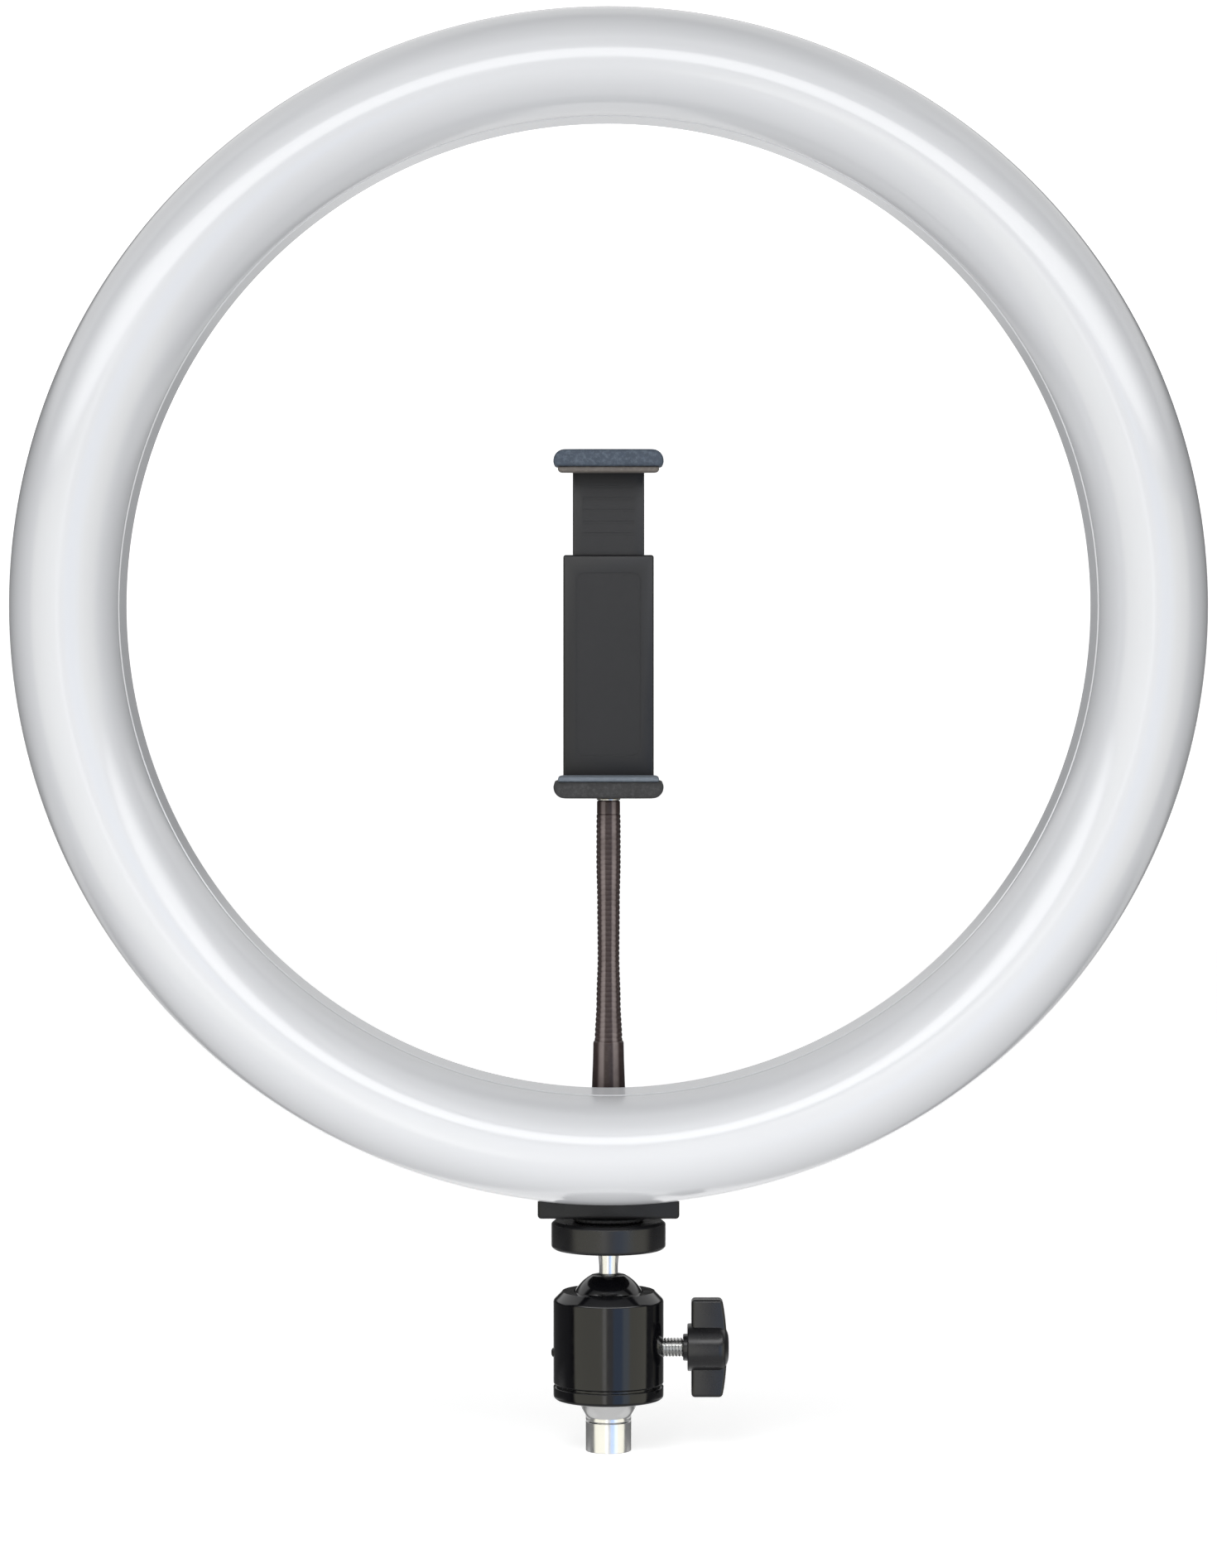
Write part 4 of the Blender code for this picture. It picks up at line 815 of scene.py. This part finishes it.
def lower_jaw():
    """The fixed jaw, the spine behind the phone, the spine's rear cover, and the jaw's pad."""
    jaw = jaw_block("lower_jaw", 165.6, 169.6, GREY_FOAM, -1)
    combine(jaw, [rod((0, 0, 160), (0, 0, 169.3), 3.9)])
    jaw.data.shade_smooth()
    fit(jaw, "clamp", "dark_grey_rubber", "clamp_body")
    spine = slab("clamp_spine", (-SPINE_HALF, 2.0, 169.0), (SPINE_HALF, 7.7, SPINE_TOP),
                 CLAMP_BLACK, edge=0.6)
    channel = slab("cutter", (-9.4, 3.0, 175.8), (9.4, 12, 230), None, edge=0)
    panel = slab("cutter", (-8.2, 0, 176), (8.2, 2.25, 222.5), None, edge=0, corner=2.0)
    combine(spine, [channel, panel] + cover_screw_holes(3.2))
    fit(spine, "clamp", "satin_black", "clamp_body")
    cover = slab("clamp_cover_visual", (-SPINE_HALF, 8.0, 169.9), (SPINE_HALF, 9.4, SPINE_TOP),
                 CLAMP_BLACK, edge=0.4, corner=1.5)
    grooves = groove_cutters(7, 9.15, 12, range(184, 216, 4), 1.0)
    combine(cover, grooves + cover_screw_holes(5))
    fit(cover, "clamp", "satin_black", "clamp_cover")
    pad = jaw_pad("lower_pad_visual", 169.7, 171.1, PALE_PAD, 1)
    fit(pad, "clamp", "dark_grey_rubber", "lower_pad")


def upper_jaw():
    """The sliding jaw, its plate with a slot for the spring and grip grooves, and its pad."""
    jaw = jaw_block("upper_jaw", 249.3, 253.5, BLUE_FOAM, 1)
    fit(jaw, "jaw", "blue_grey_rubber", "clamp_slider")
    plate = slab("slide_plate", (-9.1, 4.0, 197.0), (9.1, 6.9, 249.8), CLAMP_BLACK, edge=0.4)
    slot = slab("cutter", (-2.7, 2, 190), (2.7, 9, 211.9), None, edge=0)
    combine(plate, [slot] + groove_cutters(6.5, 3, 4.2, range(232, 247, 3), 0.7))
    fit(plate, "jaw", "satin_black", "clamp_slider")
    pad = jaw_pad("upper_pad_visual", 247.8, 249.2, WARM_PAD, -1)
    fit(pad, "jaw", "blue_grey_rubber", "upper_pad")


def clamp_spring():
    """The coil that draws the upper jaw down."""
    coil_r, wire_r, centre_y = 1.8, 0.35, 5.35
    turns, turn_steps, sides = 9, 24, 12
    count = turns * turn_steps
    bm = bmesh.new()
    rows = []
    for step in range(count + 1):
        angle = math.tau * step / turn_steps
        outward = Vector((math.cos(angle), math.sin(angle), 0))
        height = SPRING_LOW + (SPRING_HIGH - SPRING_LOW) * step / count
        centre = outward * coil_r + Vector((0, centre_y, height))
        row = []
        for side in range(sides):
            turn = math.tau * side / sides
            offset = outward * math.cos(turn) + Vector((0, 0, math.sin(turn)))
            row.append(bm.verts.new(centre + offset * wire_r))
        rows.append(row)
    for first, second in zip(rows, rows[1:]):
        for side in range(sides):
            after = (side + 1) % sides
            bm.faces.new((first[side], first[after], second[after], second[side]))
    bm.faces.new(rows[0])
    bm.faces.new(rows[-1])
    coil = piece("clamp_spring_visual", bm, SPRING_STEEL, sharp=60.0)
    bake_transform(coil)
    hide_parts("clamp_spring")


def kept_nodes():
    """Inner parts whose CAD shape is right: a proper finish, and edges softened by a width."""
    looks = {"led_board": (BOARD, 0.15), "control_board": (GREEN_BOARD, 0.1),
             "led_lead": (RUBBER, 0), "power_socket": (ZINC, 0.08), "ball_seat": (NYLON, 0.2),
             "brake_shoe": (BRASS, 0.2), "thread_insert": (BRASS, 0.2),
             "clamp_insert": (BRASS, 0.15)}
    for name, (look, edge) in looks.items():
        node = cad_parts[name]
        for holder in node.material_slots:
            holder.material = look
        if edge:
            soften(node, edge)


# ---------------------------------------------------------------- studio

# The studio is in metres; its angles are in degrees.
PANEL_RADIUS, PANEL_REACH = 0.62, 88.0
PANEL_LOW, PANEL_HIGH, PANEL_SOFT = 0.33, 0.66, 0.03
PANEL_STRENGTH, PANEL_STEPS = 4.3, 60
FLOOR_HALF, FLOOR_FRONT, CURVE_START, CURVE_R, SHEET_TOP = 5.0, -3.0, 1.6, 1.2, 4.5
CURVE_STEPS = 24
CAMERA_AWAY, LENS, SENSOR, SHIFT = 1.154, 104.5, 36.0, -0.1137
WHITE = (1, 1, 1, 1)


def turn_from_front(g, x, y):
    """The angle round the upright axis, from the front and positive to the right."""
    return g.product(g.math("ARCTAN2", x, g.math("MULTIPLY", y, -1.0)), math.degrees(1))


def reflected_studio(g, x, y, z):
    """What a shiny surface sees: a lit front with dark and blue bands, and faint lights around."""
    turn = turn_from_front(g, x, y)
    away = g.math("ABSOLUTE", turn)
    lift = g.product(g.math("ARCSINE", z), math.degrees(1))
    low = g.product(g.ramp(lift, 14, 20, 1.0, 0.0), g.ramp(lift, -36, -26))
    # Each upright band of the front: its left edge, right edge and softness, and what it adds to
    # red, green and blue.
    bands = ((-76, 86, 2, (1.15, 1.12, 0.95)), (-12, -5, 1.5, (0.9, 0.9, 1.0)),
             (-3, 10, 1.5, (-0.5, -0.48, -0.3)), (10, 30, 3, (-0.6, -0.35, 0.25)),
             (30, 44, 4, (-0.05, 0.15, 0.55)))
    shapes = [g.product(g.window(turn, left, right, soft), low) for left, right, soft, _ in bands]
    front = [g.total(*(g.product(shape, band[3][i]) for shape, band in zip(shapes, bands)))
             for i in range(3)]
    strips = g.product(g.total(g.window(lift, 51, 53, 1), g.window(lift, 59, 60.5, 1)),
                       g.ramp(away, 40, 120, 1.0, 0.0), 1.6)
    side = g.product(g.ramp(away, 76, 96), g.ramp(lift, -1, 4, 1.0, 0.4), 0.08)
    behind = g.product(g.ramp(away, 96, 108), g.ramp(lift, 12, 20),
                       g.ramp(lift, 50, 70, 1.0, 0.1))
    rim = g.product(g.ramp(away, 160, 168), g.ramp(lift, -1, 4, 1.0, 0.0))
    below = g.product(g.ramp(away, 96, 120), g.window(lift, -23, -14, 2), 0.55)
    under = g.product(g.ramp(lift, -38, -30, 1.0, 0.0), 0.5)
    plain = g.total(strips, side, behind, rim, below, under, 0.02)
    return g.colour(*(g.math("MAXIMUM", g.total(part, plain), 0.0) for part in front))


def studio_world():
    """White to the camera, soft light that is fuller from the front, and a studio to reflect."""
    world = bpy.data.worlds.new("studio")
    world.use_nodes = True
    bpy.context.scene.world = world
    g = Graph(world.node_tree)
    x, y, z = g.add("SeparateXYZ", {0: g.add("TexCoord").outputs["Generated"]}).outputs
    glossy = reflected_studio(g, x, y, z)
    path = g.add("LightPath")
    facing = g.math("MAXIMUM", g.math("MULTIPLY", y, -1.0), 0.0)
    even = g.total(g.product(facing, 0.75), 0.28)
    soft = g.mix(path.outputs["Is Glossy Ray"], g.colour(even, even, even), glossy)
    seen = g.mix(path.outputs["Is Camera Ray"], soft, WHITE)
    g.end(g.add("Background", {"Color": seen, "Strength": 1.0}), "OutputWorld")


def stage_sheet(name, rows, look):
    """A sheet in metres between lines of points; it isn't part of the object."""
    bm = bmesh.new()
    rows = [[bm.verts.new(point) for point in row] for row in rows]
    for first, second in zip(rows, rows[1:]):
        for number in range(len(first) - 1):
            bm.faces.new((first[number], second[number], second[number + 1], first[number + 1]))
    mesh = bpy.data.meshes.new(name)
    bm.to_mesh(mesh)
    bm.free()
    mesh.shade_smooth()
    mesh.materials.append(look)
    sheet = bpy.data.objects.new(name, mesh)
    bpy.context.scene.collection.objects.link(sheet)
    return sheet


def backdrop():
    """One pale sheet: a floor that curves up behind the object."""
    look, g = new_look("paper")
    place = g.add("TexCoord").outputs["Object"]
    colour = g.mix(g.noise(place, 400), (0.90, 0.90, 0.90, 1), (0.92, 0.92, 0.92, 1))
    g.end(g.add("BsdfPrincipled", {"Base Color": colour, "Roughness": 0.9,
                                   "Emission Color": WHITE, "Emission Strength": 0.6}))
    profile = [(FLOOR_FRONT, 0.0), (CURVE_START, 0.0)]
    for step in range(1, CURVE_STEPS + 1):
        angle = math.pi / 2 * step / CURVE_STEPS
        profile.append((CURVE_START + CURVE_R * math.sin(angle),
                        CURVE_R - CURVE_R * math.cos(angle)))
    profile.append((CURVE_START + CURVE_R, SHEET_TOP))
    rows = [[(x, y, z) for y, z in profile] for x in (-FLOOR_HALF, FLOOR_HALF)]
    sheet = stage_sheet("backdrop", rows, look)
    sheet.visible_glossy = False
    sheet.visible_diffuse = False
    sheet.visible_shadow = False


def front_panel():
    """A bright curved panel above and in front, for the long highlights on the diffuser."""
    look, g = new_look("panel")
    x, y, z = g.add("SeparateXYZ", {0: g.add("TexCoord").outputs["Object"]}).outputs
    away = g.math("ABSOLUTE", turn_from_front(g, x, y))
    sides = g.ramp(away, 45, PANEL_REACH, 1.0, 0.0)
    level = g.window(z, PANEL_LOW + PANEL_SOFT, PANEL_HIGH - PANEL_SOFT, 0.025)
    strength = g.product(level, sides, PANEL_STRENGTH)
    g.end(g.add("Emission", {"Color": WHITE, "Strength": strength}))
    columns = []
    for step in range(PANEL_STEPS + 1):
        angle = math.radians(PANEL_REACH * (2 * step / PANEL_STEPS - 1))
        across, depth = PANEL_RADIUS * math.sin(angle), -PANEL_RADIUS * math.cos(angle)
        columns.append([(across, depth, height) for height in (PANEL_LOW, PANEL_HIGH)])
    panel = stage_sheet("front_panel", columns, look)
    panel.visible_camera = False
    panel.visible_diffuse = False
    panel.visible_transmission = False
    panel.visible_shadow = False


def lamp(name, place, target, size, power):
    """A square soft light that isn't seen in reflections."""
    data = bpy.data.lights.new(name, "AREA")
    data.shape, data.size, data.energy = "SQUARE", size, power
    obj = bpy.data.objects.new(name, data)
    bpy.context.scene.collection.objects.link(obj)
    obj.location = place
    obj.rotation_euler = (Vector(target) - Vector(place)).to_track_quat("-Z", "Y").to_euler()
    obj.visible_glossy = False
    obj.visible_camera = False


def lamps():
    """A key light above the camera, and a low one that lifts the undersides."""
    lamp("key", (-0.5, -1.4, 1.5), (0, 0, 0.2), 1.0, 7)
    lamp("low", (0, -0.55, -0.04), (0, 0, 0.12), 0.4, 1.5)


def camera():
    """A long lens at the height of the ring's centre, shifted down to take in the post."""
    data = bpy.data.cameras.new("camera")
    data.lens, data.sensor_width, data.shift_y = LENS, SENSOR, SHIFT
    obj = bpy.data.objects.new("camera", data)
    bpy.context.scene.collection.objects.link(obj)
    obj.location = (0, -CAMERA_AWAY, RING_Z * MM)
    obj.rotation_euler = (math.pi / 2, 0, 0)
    bpy.context.scene.camera = obj


for build in (post, base_cap, ball_housing, stop_pin, clamp_screw, knob, ball, lock_wheel, lock_pad,
              diffuser, back_cover, buttons, screws, mount_bracket, neck, lower_jaw, upper_jaw,
              clamp_spring, kept_nodes, studio_world, backdrop, front_panel, camera, lamps):
    build()

bpy.context.scene.view_settings.view_transform = "Standard"
